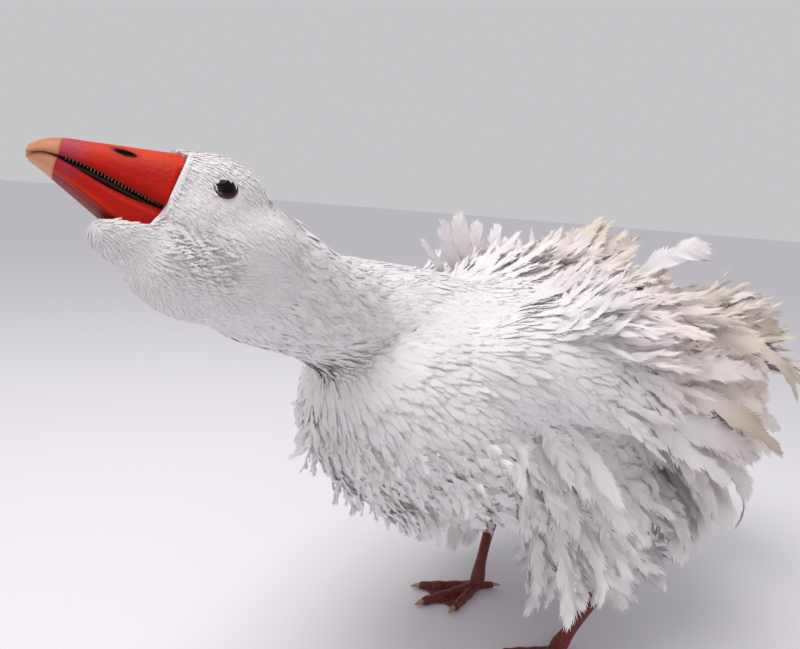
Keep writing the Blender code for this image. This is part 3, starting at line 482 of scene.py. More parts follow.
def curve_through(knots, steps):
    """Points on a smooth curve through every knot, which is a place, a size or both."""
    knots = [2 * knots[0] - knots[1]] + knots + [2 * knots[-1] - knots[-2]]
    made = []
    for a, b, c, d in zip(knots, knots[1:], knots[2:], knots[3:]):
        for step in range(steps):
            t = step / steps
            made.append(0.5 * (2 * b + t * (c - a) + t * t * (2 * a - 5 * b + 4 * c - d)
                               + t ** 3 * (3 * b - a - 3 * c + d)))
    return made + [knots[-2]]


def smooth_line(line, steps=6):
    """Points on a smooth curve through every (place, radius) of the line."""
    made = curve_through([Vector((*place, radius)) for place, radius in line], steps)
    return [(knot.xyz, knot.w) for knot in made]


def edges_at(vertices):
    return list({edge for vertex in vertices for edge in vertex.link_edges})


def tube(bm, line, steps=6, around=20):
    """A closed tube of varied radius, one ring bridged to the next."""
    points = smooth_line(line, steps)
    rings = []
    for index, (place, radius) in enumerate(points):
        before = points[max(index - 1, 0)][0]
        after = points[min(index + 1, len(points) - 1)][0]
        facing = (after - before).to_track_quat("Z", "Y").to_matrix().to_4x4()
        ring = bmesh.ops.create_circle(bm, cap_ends=index in (0, len(points) - 1), radius=max(radius, 1e-4),
                                       segments=around, matrix=Matrix.Translation(place) @ facing)
        rings.append(edges_at(ring["verts"]))
    for low, high in zip(rings, rings[1:]):
        bmesh.ops.bridge_loops(bm, edges=low + high)


def pulled(bm, face):
    """Extrudes a face, and gives the corners of its new end."""
    grown = bmesh.ops.extrude_face_region(bm, geom=[face])
    return [item for item in grown["geom"] if isinstance(item, bmesh.types.BMVert)]


def wing_place(side):
    (x, y, z), radii = WING
    droop = turn_about(-WING_DROOP, "X")
    lean = turn_about(-side * WING_LEAN, "Y")
    close = turn_about(side * WING_CLOSE, "Z")
    return Matrix.Translation((side * x, y, z)) @ close @ lean @ droop


def bill_space():
    """The space ahead of the feather line, where the bill is bare."""
    outline = FEATHER_LINE + (BILL_SPACE_CORNER,)
    bm = bmesh.new()
    corners = [bm.verts.new((-BILL_SPACE_REACH, -ahead, height)) for ahead, height in outline]
    for vertex in pulled(bm, bm.faces.new(corners)):
        vertex.co.x = BILL_SPACE_REACH
    bmesh.ops.recalc_face_normals(bm, faces=bm.faces[:])
    bm.transform(HEAD)
    return made_from(bm, "bill_space")


def make_skin():
    """One skin over trunk, thighs, wings, tail, neck and head, cut back where the bill is bare."""
    bm = bmesh.new()
    for form in (BREAST, TRUNK, BELLY, RUMP, TAIL_ROOT):
        swelling(bm, form)
    for side in (1, -1):
        swelling(bm, THIGH, side=side)
        swelling(bm, SHOULDER, side=side)
        swelling(bm, ((0.0, 0.0, 0.0), WING[1]), wing_place(side))
    for form in (SKULL, FACE, CHEEKS, THROAT, CHIN, NAPE):
        swelling(bm, form, HEAD)
    tube(bm, NECK_LINE, around=40)
    tube(bm, NAPE_LINE, around=40)
    skin = remeshed(made_from(bm, "skin"), SKIN_VOXEL, SKIN_SMOOTHING)
    boolean(skin, "DIFFERENCE", bill_space())
    return skin


def unit(vectors):
    return vectors / np.maximum(np.linalg.norm(vectors, axis=-1, keepdims=True), 1e-9)


def turned(vectors, axes, degrees):
    angle = np.radians(degrees)[..., None]
    dot = (vectors * axes).sum(-1, keepdims=True)
    swung = vectors * np.cos(angle) + np.cross(axes, vectors) * np.sin(angle)
    return swung + axes * dot * (1 - np.cos(angle))


def along_skin(ways, outs):
    return unit(ways - (ways * outs).sum(-1, keepdims=True) * outs)


def beyond(points, plane):
    """How far each point lies beyond a plane."""
    return (points - np.array(plane[0])) @ np.array(plane[1])


def in_head(points):
    """Each point in the head's frame."""
    return (points - np.array(HEAD_PLACE)) @ HEAD_TURN


def in_wing(points):
    """Each point in the frame of the wing on its side, as shares of the wing's half sizes."""
    local = np.zeros_like(points)
    for side in (1, -1):
        place = np.array(wing_place(side).inverted())
        mine = points[:, 0] * side >= 0
        local[mine] = (points[mine] @ place[:3, :3].T + place[:3, 3]) / np.array(WING[1])
    return local


def unwrapped(points):
    """Each point's place on the skin laid flat: angle round the body's line, and distance along it."""
    line = [*BODY_LINE, *(place for place, radius in NECK_LINE[1:6]), tuple(HEAD @ Vector(BILL_ROOT))]
    line = np.array(line)
    starts, runs = line[:-1], np.diff(line, axis=0)
    lengths = np.linalg.norm(runs, axis=1)
    along = np.concatenate([[0.0], np.cumsum(lengths)])
    away = points[:, None, :] - starts[None]
    share = np.clip((away * runs).sum(2) / lengths ** 2, 0.0, 1.0)
    offset = away - share[..., None] * runs
    nearest = np.linalg.norm(offset, axis=2).argmin(1)
    pick = np.arange(len(points))
    offset = offset[pick, nearest]
    tangent = runs[nearest] / lengths[nearest, None]
    across = np.cross(tangent, (0.0, 0.0, 1.0))
    across /= np.linalg.norm(across, axis=1, keepdims=True)
    over = np.cross(across, tangent)
    angle = np.arctan2((offset * across).sum(1), (offset * over).sum(1))
    distance = along[nearest] + share[pick, nearest] * lengths[nearest]
    # A margin stays free round the layout, as each feather's patch reaches past its root
    return np.stack([0.5 + 0.48 * angle / math.pi, 0.01 + 0.98 * distance / along[-1]], 1)


def furrows(points):
    """Ridge (1) and furrow (-1) of the small feathers on neck and cheek, and how strong they are there."""
    flat = unwrapped(points)
    around, along = flat[:, 0] * FURROWS, flat[:, 1]
    wave = np.sin(2 * math.pi * (around + FURROW_WAVER * np.sin(along * 95.0 + around * 0.8)))
    before_head = np.clip(-beyond(points, NECK_TOP) / 0.03 + 0.5, 0, 1)
    neck = rise(beyond(points, NECK_BASE), 0.0, 0.03) * before_head
    y, z = in_head(points).T[1:]
    cheek = np.clip(1.5 - np.abs(z - CHEEK_HEIGHT) / 0.013, 0, 1)
    cheek = cheek * rise(y, CHEEK_FRONT, 0.010) * rise(-y, -CHEEK_BACK, 0.012)
    cheek = cheek * np.clip(beyond(points, NECK_TOP) / 0.01 + 1.0, 0, 1)
    run = z * 0.62 + y * 0.62
    ridges = np.sin(run * CHEEK_RIDGES + 1.6 * np.sin(y * 260.0 + z * 140.0))
    return blend(wave, ridges, cheek), np.clip(neck * NECK_RELIEF + cheek * CHEEK_RELIEF, 0, 1)


def furrow_slope(points, across):
    """Which way the ridge lies from each point, so that the feathers gather on it."""
    return np.sign(furrows(points + FURROW_PROBE * across)[0] - furrows(points - FURROW_PROBE * across)[0])


def markings(points):
    """How cream and beige the plumage is at each place, and how much grey-green painted shade darkens it low
    on the body and in its furrows.
    """
    y, z = points.T[1:]
    cream = rise(y, -0.08, 0.13) * rise(z, 0.26, 0.07) * 0.85
    beige = rise(y, 0.20, 0.14) * rise(z, 0.15, 0.08)
    # Painted shade: darker towards the bottom, where less light reaches
    low = rise(-z, -0.215, 0.08)
    wave, strength = furrows(points)
    # Painted shade in the furrows between the ridges
    furrow = np.clip(-wave - 0.1, 0, 1) * strength
    return cream, beige * 0.5, low * 0.20, furrow * 0.75


def paint_skin(skin):
    """Gives the skin the same markings and painted shade as the coat that grows on it, and more painted shade
    under the coat.
    """
    cream, beige, shade, furrow = (part[:, None] for part in markings(vertex_values(skin.data, "co")))
    colour = blend(blend(WHITE, CREAM, cream), BEIGE, beige * 0.6)
    paint(skin.data, blend(colour, SHADE, np.maximum(shade + SKIN_SHADE, furrow)))


def mesh_of(name, points, triangles, colours, patches):
    """A joined mesh from arrays, with its colours and its places on the unwrapped skin."""
    mesh = bpy.data.meshes.new(name)
    mesh.vertices.add(len(points))
    mesh.vertices.foreach_set("co", points.astype(np.float32).ravel())
    mesh.loops.add(triangles.size)
    mesh.loops.foreach_set("vertex_index", triangles.astype(np.int32).ravel())
    mesh.polygons.add(len(triangles))
    mesh.polygons.foreach_set("loop_start", np.arange(0, triangles.size, 3, dtype=np.int32))
    mesh.update(calc_edges=True)
    layer = mesh.uv_layers.new(name="OFBake")
    layer.data.foreach_set("uv", patches[triangles.ravel()].astype(np.float32).ravel())
    paint(mesh, colours)
    return linked(name, mesh)


def waved(span, number, roots, rng):
    """A value for every feather, mostly shared with its neighbours, so that the feathers flow in waves."""
    first, second = WAVES[number]
    wave = 0.6 * np.sin(roots @ np.array(first)) + 0.4 * np.sin(roots @ np.array(second) + number)
    mixed = np.clip(WAVE_SHARE * wave + (1 - WAVE_SHARE) * rng.uniform(-1.4, 1.4, len(roots)), -1, 1)
    return (span[0] + span[1]) / 2 + mixed * (span[1] - span[0]) / 2


def grown(roots, ahead, out, length, lobes, bends, droop):
    """Shafts that curl, sway, twist and droop a little more with each lobe, from root to tip."""
    lift, curl, sway, twist = bends
    side = unit(np.cross(ahead, out))
    way = turned(ahead, side, lift)
    face = turned(out, side, lift)
    place = roots - (SINK * length)[:, None] * out
    step = (length / lobes)[:, None]
    shaft, ways, faces = [place], [way], [face]
    # Curl and sway grow towards the tip
    for knot in range(lobes):
        place = place + step * way
        growth = (knot + 1) / lobes
        way = turned(way, side, curl * (0.2 + 1.6 * growth) / lobes)
        way = unit(way + droop / lobes * np.array((0.0, 0.0, -1.0)))
        way = turned(way, face, sway * (0.4 + 1.2 * growth) / lobes)
        face = turned(along_skin(face, way), way, twist / lobes)
        side = np.cross(way, face)
        shaft.append(place)
        ways.append(way)
        faces.append(face)
    return [np.stack(part, 1) for part in (shaft, ways, faces)]


def draped(skin_tree, shaft, ways, faces, length, least, most):
    """The shafts moved to keep between a least and a most height over the skin, as shares of the length."""
    knots = shaft.shape[1]
    share = np.linspace(0.0, 1.0, knots)
    near, normal = np.empty_like(shaft), np.empty_like(shaft)
    for index, row in enumerate(shaft.tolist()):
        for knot in range(1, knots):
            near[index, knot], normal[index, knot] = skin_tree.find_nearest(row[knot])[:2]
    near[:, 0], normal[:, 0] = shaft[:, 0], faces[:, 0]
    height = ((shaft - near) * normal).sum(2)
    low = length[:, None] * (0.01 + least * share[None])
    high = length[:, None] * (0.02 + most * share[None])
    wave, strength = furrows(shaft[:, -1])
    low = low + (FURROW_DEPTH * (1 + wave) * strength)[:, None] * np.minimum(1.0, 2.5 * share)[None]
    high = np.maximum(high, low)
    wanted = np.clip(height, low, high)
    wanted[:, 0] = height[:, 0]
    shaft = shaft + (wanted - height)[..., None] * normal
    ways = ways.copy()
    ways[:, :-1] = unit(shaft[:, 1:] - shaft[:, :-1])
    ways[:, -1] = ways[:, -2]
    faces = unit(faces + 1.2 * normal * (height < wanted - 1e-6)[..., None])
    return shaft, ways, along_skin(faces, ways)


def along_lines(lines, out, lobes, twist):
    """Shafts that follow a given bend from root, by a middle place, to tip."""
    start, middle, end = (line[:, None] for line in lines)
    t = np.linspace(0.0, 1.0, lobes + 1)[None, :, None]
    bend = 2 * middle - (start + end) / 2
    shaft = (1 - t) ** 2 * start + 2 * t * (1 - t) * bend + t ** 2 * end
    ways = unit(2 * (1 - t) * (bend - start) + 2 * t * (end - bend))
    faces = along_skin(np.broadcast_to(out[:, None], shaft.shape), ways)
    return shaft, ways, turned(faces, ways, twist[:, None] * t[..., 0])


def feathers(name, kind, roots, ahead, out, length, width, rng, skin_tree=None, lines=None, tone=None):
    """Joined vanes: each has a curved shaft, a thin web on both sides and a fringe of barb ends."""
    lobes, lift, curl, sway, twist, droop, fray, cup = KINDS[kind]
    count = len(roots)
    bends = [waved(span, number, roots, rng) for number, span in enumerate((lift, curl, sway, twist))]
    if lines is None:
        shaft, ways, faces = grown(roots, ahead, out, length, lobes, bends, droop)
        if skin_tree and kind in DRAPE:
            shaft, ways, faces = draped(skin_tree, shaft, ways, faces, length, *DRAPE[kind])
    else:
        shaft, ways, faces = along_lines(lines, out, lobes, bends[3])
    shaft, ways, faces = (list(np.moveaxis(part, 1, 0)) for part in (shaft, ways, faces))
    tint = rng.normal(0.0, TINT, (count, 1))
    cream, beige, shade, furrow = markings(roots)
    if tone is not None:
        cream, beige = tone
    patch = unwrapped(roots)
    points, colours, patches, barbs = [], [], [], []

    def put(spot, share, across, reach):
        """One more point of every feather, by its share of the length and its reach from the shaft."""
        open_web = rise(share, 0.20, 0.5)
        # Painted shade: a feather is darker towards its root, where the feathers over it shade it, more so
        # low on the body, and in the furrows
        deep = ((ROOT_SHADE.get(kind, OTHER_ROOT_SHADE) + shade) * max(0.0, 1.0 - share * 2.6))[..., None]
        deep = np.maximum(deep, furrow[..., None])
        colour = blend(WHITE, CREAM, (cream * (0.35 + 0.65 * open_web))[:, None])
        colour = blend(colour, BEIGE, (beige * open_web ** 1.5 * (0.75 + 0.25 * abs(across)))[:, None])
        points.append(spot)
        colours.append(np.clip(blend(colour, SHADE, deep) + tint, 0.02, 0.95))
        patches.append(patch + np.array((across, min(share, 1.0) * 2.0 - 1.0)) * PATCH / 2)
        barbs.append(share * length - 0.8 * reach)
        return len(points) - 1

    pattern = []
    middle = [put(spot, knot / lobes, 0.0, 0.0) for knot, spot in enumerate(shaft)]
    for hand in (1, -1):
        edges, outwards, halves = [], [], []
        for knot in range(lobes + 1):
            u = knot / lobes
            # The width follows the outline, wavers where the barbs part, and has gaps in a frayed kind
            half = 0.5 * width * np.interp(u, *OUTLINE)
            half = half * rng.uniform(1.0 - 0.30 * fray, 1.0 + 0.15 * fray, count)
            half = np.where(rng.random(count) < 0.16 * fray, 0.45 * half, half)
            # Barbs lean further forwards towards the tip, and the web is cupped over its shaft
            lean = BARB_LEAN[0] + (BARB_LEAN[1] - BARB_LEAN[0]) * u ** 1.4
            tilt = np.radians(lean + rng.normal(0.0, 7.0 * fray, count))[:, None]
            sides = np.cross(ways[knot], faces[knot])
            outward = hand * np.cos(tilt) * sides + np.sin(tilt) * ways[knot]
            bend = (cup * half * (1.0 + fray * rng.normal(0.0, 1.3, count)))[:, None]
            edge = shaft[knot] + half[:, None] * outward - bend * faces[knot]
            edges.append(put(edge, u, 0.75 * hand, half))
            outwards.append(outward)
            halves.append(half)
        for knot in range(lobes):
            u = (knot + 0.5) / lobes
            low, high = points[edges[knot]], points[edges[knot + 1]]
            centre = put((low + high) / 2, u, 0.75 * hand, (halves[knot] + halves[knot + 1]) / 2)
            tips = []
            # Two barb ends reach past the edge of every lobe, further near the tip
            for share in BARB_ENDS:
                parted = (0.14 + 0.08 * fray) * rng.uniform(0.2, 1.7, count)
                parted = parted + 0.75 * fray * u ** 2 * rng.random(count)
                reach = (halves[knot] * parted + 0.35 * length / lobes)[:, None]
                onward = unit(outwards[knot] + (0.5 + 0.6 * u) * ways[knot]
                              + 0.35 * fray * rng.normal(0.0, 1.0, (count, 1)) * faces[knot])
                tip = low + share * (high - low) + reach * onward
                tips.append(put(tip, u + 0.05, hand, halves[knot] + reach[:, 0]))
            fan = [(middle[knot], middle[knot + 1], edges[knot + 1]),
                   (middle[knot], edges[knot + 1], edges[knot]),
                   (edges[knot], centre, tips[0]), (centre, edges[knot + 1], tips[1])]
            pattern += fan if hand > 0 else [(c, b, a) for a, b, c in fan]
    points, colours, patches, barbs = (np.stack(part, 1) for part in (points, colours, patches, barbs))
    triangles = (np.arange(count) * points.shape[1])[:, None, None] + np.array(pattern)[None]
    made = mesh_of(name, points.reshape(-1, 3), triangles.reshape(-1, 3), colours.reshape(-1, 3),
                   patches.reshape(-1, 2))
    attribute = made.data.attributes.new("barb", "FLOAT", "POINT")
    attribute.data.foreach_set("value", barbs.astype(np.float32).ravel())
    return made


def skin_points(skin, kind, count, rng):
    """Random points on the skin where this kind grows, with their outward directions, even over its area."""
    mesh = skin.data
    mesh.calc_loop_triangles()
    triangles = np.zeros(len(mesh.loop_triangles) * 3, np.int32)
    mesh.loop_triangles.foreach_get("vertices", triangles)
    triangles = triangles.reshape(-1, 3)
    normals = vertex_values(mesh, "normal")
    corners = vertex_values(mesh, "co")[triangles]
    areas = np.linalg.norm(np.cross(corners[:, 1] - corners[:, 0], corners[:, 2] - corners[:, 0]), axis=1)
    areas = areas * regions(corners.mean(1))[kind]
    chosen = rng.choice(len(triangles), count, p=areas / areas.sum())
    weights = rng.dirichlet((1.0, 1.0, 1.0), count)[..., None]
    return (corners[chosen] * weights).sum(1), unit((normals[triangles[chosen]] * weights).sum(1))


def spaced(points, spacing):
    """Indices of points that keep the spacing from those kept before them."""
    cells = {}
    kept = []
    keys = np.floor(points / spacing).astype(int).tolist()
    steps = [(a, b, c) for a in (-1, 0, 1) for b in (-1, 0, 1) for c in (-1, 0, 1)]
    for index, ((i, j, k), (x, y, z)) in enumerate(zip(keys, points.tolist())):
        near = (spot for a, b, c in steps for spot in cells.get((i + a, j + b, k + c), ()))
        if all((p - x) ** 2 + (q - y) ** 2 + (r - z) ** 2 >= spacing ** 2 for p, q, r in near):
            cells.setdefault((i, j, k), []).append((x, y, z))
            kept.append(index)
    return np.array(kept, int)


def regions(points):
    """Which kind of feather grows at each point of the skin, as a mask for each kind."""
    y = points[:, 1]
    local = in_wing(points)
    near_wing = (local ** 2).sum(1) < WING_REACH ** 2
    head = beyond(points, NECK_TOP) > 0.0
    neck = (beyond(points, NECK_BASE) > 0.0) & (y < NECK_FROM) & ~head
    trunk = ~head & ~neck
    up = np.degrees(np.arctan2(points[:, 2] - BODY_AXIS, np.abs(points[:, 0]) + 1e-6))
    wing = near_wing & trunk
    # The wing's ruffles reach further down towards its tip
    ruffled = wing & (local[:, 2] > -0.40 - 0.5 * local[:, 1])
    under = trunk & (up < np.interp(y, *np.array(HEM).T)) & ~wing
    top = trunk & (up > CREST_ANGLE) & (y > CREST_FROM) & ~wing
    rest = trunk & ~under & ~top & ~wing
    front = rest & (y < BREAST_TO)
    neck_foot = neck & (beyond(points, NECK_BASE) < BREAST_ON_NECK)
    return {
        "plush": head,
        "nape": neck,
        "breast": front | neck_foot | (near_wing & (y < WING_BREAST_TO)),
        "fringe": under & (y < FRINGE_TO),
        "hanging": under & (y >= FRINGE_TO),
        "flank": rest & ~front,
        "mantle": ruffled | (top & (y < MANTLE_TO)),
        "crest": top,
    }


def neck_way(points):
    """The way down the neck at each point."""
    line = np.array([place for place, radius in smooth_line(NECK_LINE)])
    near = np.linalg.norm(points[:, None] - line[None], axis=2).argmin(1)
    near = np.clip(near, 1, len(line) - 2)
    return unit(line[near - 1] - line[near + 1])


def lie(kind, points, outs):
    """The way the feathers point, along the skin."""
    side = np.sign(points[:, 0])
    count = len(points)
    if kind == "plush":
        height = in_head(points)[:, 2]
        falling = np.where(height < -0.022, -0.1, -0.45)
        back = np.stack([np.zeros(count), np.full(count, 0.9), falling], 1) @ HEAD_TURN.T
        low = rise(-height, 0.02, 0.03)[:, None]
        ways = unit(back) * (1 - low) + neck_way(points) * low
    elif kind in ("nape", "breast"):
        fall = np.clip((0.37 - points[:, 2]) / 0.10, 0.1, 1.0)
        body = np.stack([0.45 * side * (1 - fall), np.full(count, 0.70), -0.75 * fall], 1)
        near = np.clip(beyond(points, NECK_BASE) / 0.07 + 0.35, 0, 1)[:, None]
        ways = neck_way(points) * near + unit(body) * (1 - near)
    elif kind in ("fringe", "hanging"):
        front = rise(-points[:, 1], 0.09, 0.08)
        ways = np.stack([0.28 * side, 0.58 + 0.30 * front, -0.76 + 0.30 * front], 1)
    else:
        outwards, back, up = LIES[kind]
        ways = np.stack([outwards * side, np.full(count, back), np.full(count, up)], 1)
    return along_skin(ways, outs)


def fitting_lengths(kind, points, length):
    """The lengths, changed where the coat is shorter or longer along the body."""
    y = points[:, 1]
    if kind == "fringe":
        length = length * np.clip(0.45 + (y + 0.20) * 4.0, 0.45, 1.0)
    if kind == "hanging":
        for change, middle, reach in HANGING_CHANGES:
            length = length * (1.0 + change * np.exp(-((y - middle) / reach) ** 2))
    return length


def coat_over(skin, tree, plumage):
    """Feathers of every kind that grow evenly over the skin."""
    for number, (kind, (spacing, least, most, share, tries)) in enumerate(GROWTH.items()):
        rng = np.random.default_rng(SEED + number)
        points, outs = skin_points(skin, kind, tries, rng)
        kept = spaced(points, spacing)
        points, outs = points[kept], outs[kept]
        if kind == "plush":
            local = in_head(points)
            eye = np.hypot(local[:, 1], local[:, 2]) < EYE_SHOWN * EYE_CLEARING
            bare = eye & (np.abs(local[:, 0]) > 0.010)
            points, outs = points[~bare], outs[~bare]
        ways = lie(kind, points, outs)
        ways = unit(ways + rng.normal(0.0, 0.05 if kind in SMALL_KINDS else 0.10, ways.shape))
        if kind in SMALL_KINDS:
            strength = furrows(points)[1]
            across = np.cross(ways, outs)
            ways = ways + (FURROW_TURN * strength * furrow_slope(points, across))[:, None] * across
        ways = along_skin(ways, outs)
        length = fitting_lengths(kind, points, rng.uniform(least, most, len(points)))
        halves = ((points[:, 0] >= 0, "left"), (points[:, 0] < 0, "right"))
        if kind in SMALL_KINDS:
            over = points[:, 2] > np.median(points[:, 2])
            halves = ((over, "above"), (~over, "below"))
        for mask, word in halves:
            width = share * length[mask] * rng.uniform(0.85, 1.15, mask.sum())
            piece = feathers(f"feathers_{kind}_{word}", kind, points[mask], ways[mask], outs[mask],
                             length[mask], width, rng, skin_tree=tree)
            show(piece, plumage, "feathers")


def columns(rows):
    """One array for each of the values in the rows."""
    return [np.array(part) for part in zip(*rows)]


def wing_feathers(tree, plumage):
    for side, word in ((1, "left"), (-1, "right")):
        place = wing_place(side)
        inwards = place.to_3x3() @ Vector((-side, 0, 0))
        rows = {}
        rng = np.random.default_rng(SEED + 20 + side)
        for kind, along, along_last, up, up_last, count, length, width, slope, slope_last, lift in WING_ROWS:
            for index in range(count):
                share = index / (count - 1)
                jitter = rng.uniform(-0.03, 0.03, 2)
                y = (along + (along_last - along) * share + jitter[0]) * WING[1][1]
                z = (up + (up_last - up) * share + jitter[1]) * WING[1][2]
                start = place @ Vector((0.0, y, z)) - 0.2 * inwards
                root, normal = tree.ray_cast(start, inwards)[:2]
                if root is None:
                    continue
                fall = math.radians(slope + (slope_last - slope) * share + rng.uniform(-4, 4))
                out = (0.35 * normal - inwards).normalized()
                way = place.to_3x3() @ Vector((0, math.cos(fall), -math.sin(fall)))
                ahead = (way - way.dot(out) * out).normalized()
                tilt = Matrix.Rotation(math.radians(lift), 3, ahead.cross(out))
                rows.setdefault(kind, []).append(
                    (tuple(root), tuple(tilt @ ahead), tuple(tilt @ out), length * rng.uniform(0.88, 1.1),
                     width * rng.uniform(0.9, 1.1)))
        for kind, row in rows.items():
            piece = feathers(f"wing_{kind}_{word}", kind, *columns(row), rng, skin_tree=tree)
            show(piece, plumage, "feathers")


def tail_feathers(plumage):
    rng = np.random.default_rng(SEED + 40)
    (x, y, z), radii = TAIL_ROOT
    for number, (kind, count, fan, length, width, slope, height) in enumerate(TAIL_ROWS):
        row = []
        for index in range(count):
            turn = math.radians(-fan + 2 * fan * index / (count - 1) + rng.uniform(-3, 3))
            fall = math.radians(slope + rng.uniform(-5, 5))
            ahead = Vector((math.sin(turn), math.cos(turn) * math.cos(fall), -math.sin(fall))).normalized()
            root = Vector((x + 0.6 * radii[0] * math.sin(turn), y + 0.7 * radii[1] * math.cos(turn),
                           z + height * radii[2]))
            up = (Vector((0, 0, 1)) - ahead.z * ahead).normalized()
            reach = (length + TAIL_SINK) * rng.uniform(0.92, 1.08)
            row.append((tuple(root), tuple(ahead), tuple(up), reach, width))
        show(feathers(f"tail_row_{number + 1}", kind, *columns(row), rng), plumage, "feathers")


def placed_feathers(name, kind, lines, outs, widths, tone, rng, plumage):
    """Feathers that each follow a line from root, by a middle place, to tip."""
    roots, middles, tips = lines
    lengths = np.linalg.norm(tips - roots, axis=1)
    piece = feathers(name, kind, roots, unit(tips - roots), unit(outs), lengths, widths, rng,
                     lines=lines, tone=tone)
    show(piece, plumage, "feathers")


def great_feathers(plumage):
    """The single large feathers, mirrored on the right side, and the tufts."""
    rng = np.random.default_rng(SEED + 60)
    for side, word in ((1, "left"), (-1, "right")):
        for kind, rows in GREAT_FEATHERS.items():
            roots, middles, tips, outs, widths, cream, beige = columns(rows)
            for part in (roots, middles, tips, outs):
                part[:, 0] *= side
            lines = (roots, middles, tips)
            placed_feathers(f"great_{kind}_{word}", kind, lines, outs, widths, (cream, beige), rng, plumage)
    for kind, rows in TUFTS.items():
        roots, tips, widths, cream, beige = columns(rows)
        outs = np.tile(unit(np.array(TUFT_FACE)), (len(rows), 1))
        lines = (roots, (roots + tips) / 2 + TUFT_BOW * outs, tips)
        placed_feathers(f"tuft_{kind}", kind, lines, outs, widths, (cream, beige), rng, plumage)


def bill_size(ahead, name):
    """A size of the bill at a distance ahead of the eyes."""
    stations = np.array(BILL_STATIONS)
    return np.interp(ahead, stations[:, 0], stations[:, BILL_SIZES[name]])


def bill_rings(upper, steps=5, around=28):
    """Rings of one half of the bill, from inside the head to its tip, in the head's frame."""
    stations = curve_through([np.array(row) for row in BILL_STATIONS], steps)
    rings = []
    for index, (ahead, half, culmen, mouth, keel) in enumerate(stations):
        share = index / (len(stations) - 1)
        if upper:
            edge, far, arch, square = mouth, culmen, 0.75, 1.0
        else:
            edge = mouth - 0.0003 - MOUTH_GAP * math.sin(math.pi * min(1.0, share * 1.15)) ** 2
            far, arch, square = min(keel, edge - 0.0012), 0.60, 0.62
            half *= JAW_SHARE
            ahead -= 0.0018 * share
        ring = []
        for step in range(around + 1):
            turn = math.pi * step / around
            height = edge + (far - edge) * math.sin(turn) ** arch
            wide = half * math.copysign(abs(math.cos(turn)) ** square, math.cos(turn))
            if not upper:
                ramus = math.exp(-((abs(math.cos(turn)) - 0.80) / 0.16) ** 2)
                ramus *= math.sin(math.pi * min(1, share * 1.1))
                height -= 0.0012 * ramus
                wide *= 1.0 + 0.04 * ramus
            ring.append(Vector((wide, -ahead, height)))
        for side in (-0.35, 0.35):
            ring.append(Vector((side * half, -ahead, edge + 0.14 * (far - edge))))
        rings.append(ring)
    return rings


def loft(rings, name):
    """A closed form through rings that are given in the head's frame."""
    bm = bmesh.new()
    edges = []
    for index, ring in enumerate(rings):
        row = [bm.verts.new(HEAD @ spot) for spot in ring]
        loop = [bm.edges.new((row[i], row[(i + 1) % len(row)])) for i in range(len(row))]
        if index in (0, len(rings) - 1):
            bm.faces.new(row)
        edges.append(loop)
    for low, high in zip(edges, edges[1:]):
        bmesh.ops.bridge_loops(bm, edges=low + high)
    bmesh.ops.triangulate(bm, faces=bm.faces[:])
    return made_from(bm, name)


def cut_by_plane(carrier, place, normal):
    """Cuts away what lies beyond a plane, and closes the cut."""
    bm = bmesh.new()
    bm.from_mesh(carrier.data)
    whole = bm.verts[:] + bm.edges[:] + bm.faces[:]
    bmesh.ops.bisect_plane(bm, geom=whole, plane_co=place, plane_no=normal, clear_outer=True)
    bmesh.ops.holes_fill(bm, edges=[edge for edge in bm.edges if edge.is_boundary])
    bmesh.ops.recalc_face_normals(bm, faces=bm.faces[:])
    bm.to_mesh(carrier.data)
    bm.free()


def bill_colours(local, lower):
    """Orange-red with a purple-pink band before the pale nail, painted shade in the nostrils, and on the
    lower half a painted highlight along its ridge and painted shade under it.
    """
    y, z = local.T[1:]
    ahead = -y
    ridge = np.clip((z + 0.004 + (ahead - 0.035) * 0.25) / 0.012, 0, 1)[:, None]
    colour = blend(BILL_RED, BILL_ORANGE, ridge * 0.8)
    band = np.exp(-((ahead - NAIL_LINE + 0.004) / 0.0055) ** 2)[:, None]
    colour = blend(colour, BILL_PINK, band * (0.75 if not lower else 0.55))
    # Painted shade: the nostril's hollow is painted almost black
    (side, back, up), radii = NOSTRIL
    off = np.sqrt(((y - back) / radii[1]) ** 2 + ((z - up) / radii[2]) ** 2)
    colour = colour * np.clip(1.6 * off - 1.1, 0.02, 1.0)[:, None]
    if lower:
        edge, keel = bill_size(ahead, "mouth"), bill_size(ahead, "keel")
        depth = (edge - z) / np.maximum(edge - keel, 1e-4)
        colour = blend(BILL_RED, colour, 0.7)
        # Painted highlight along the ridge of the lower half, and painted shade on its underside, where less
        # light falls
        ridge = np.exp(-((depth - 0.80) / 0.05) ** 2) * np.clip((ahead - 0.034) / 0.02, 0.25, 1)
        colour = blend(colour, BILL_ORANGE * 1.1, ridge[:, None] * 0.8)
        colour = blend(colour, BILL_UNDERSIDE_SHADE, rise(depth, 0.86, 0.05)[:, None] * 0.7)
    return colour


def make_bill_halves(bill, nail):
    line = HEAD @ Vector((0.0, -NAIL_LINE, 0.0))
    ahead = HEAD.to_3x3() @ Vector((0.0, -1.0, 0.0))
    for part, upper in (("upper", True), ("lower", False)):
        whole = loft(bill_rings(upper), f"bill_{part}_horn")
        boolean(whole, "INTERSECT", bill_space())
        if upper:
            for side in (1, -1):
                bm = bmesh.new()
                swelling(bm, NOSTRIL, HEAD, side, detail=4)
                boolean(whole, "DIFFERENCE", made_from(bm, "nostril"))
        tip = linked(f"nail_{part}_horn", whole.data.copy())
        cut_by_plane(tip, line, -ahead)
        cut_by_plane(whole, line, ahead)
        paint(whole.data, bill_colours(in_head(vertex_values(whole.data, "co")), not upper))
        height = in_head(vertex_values(tip.data, "co"))[:, 2]
        paint(tip.data, blend(NAIL_PALE, NAIL_BROWN, rise(height, -0.011, 0.009)[:, None]))
        show(whole, bill, "bill", f"bill_{part}")
        show(tip, nail, "bill_nail", f"nail_{part}")


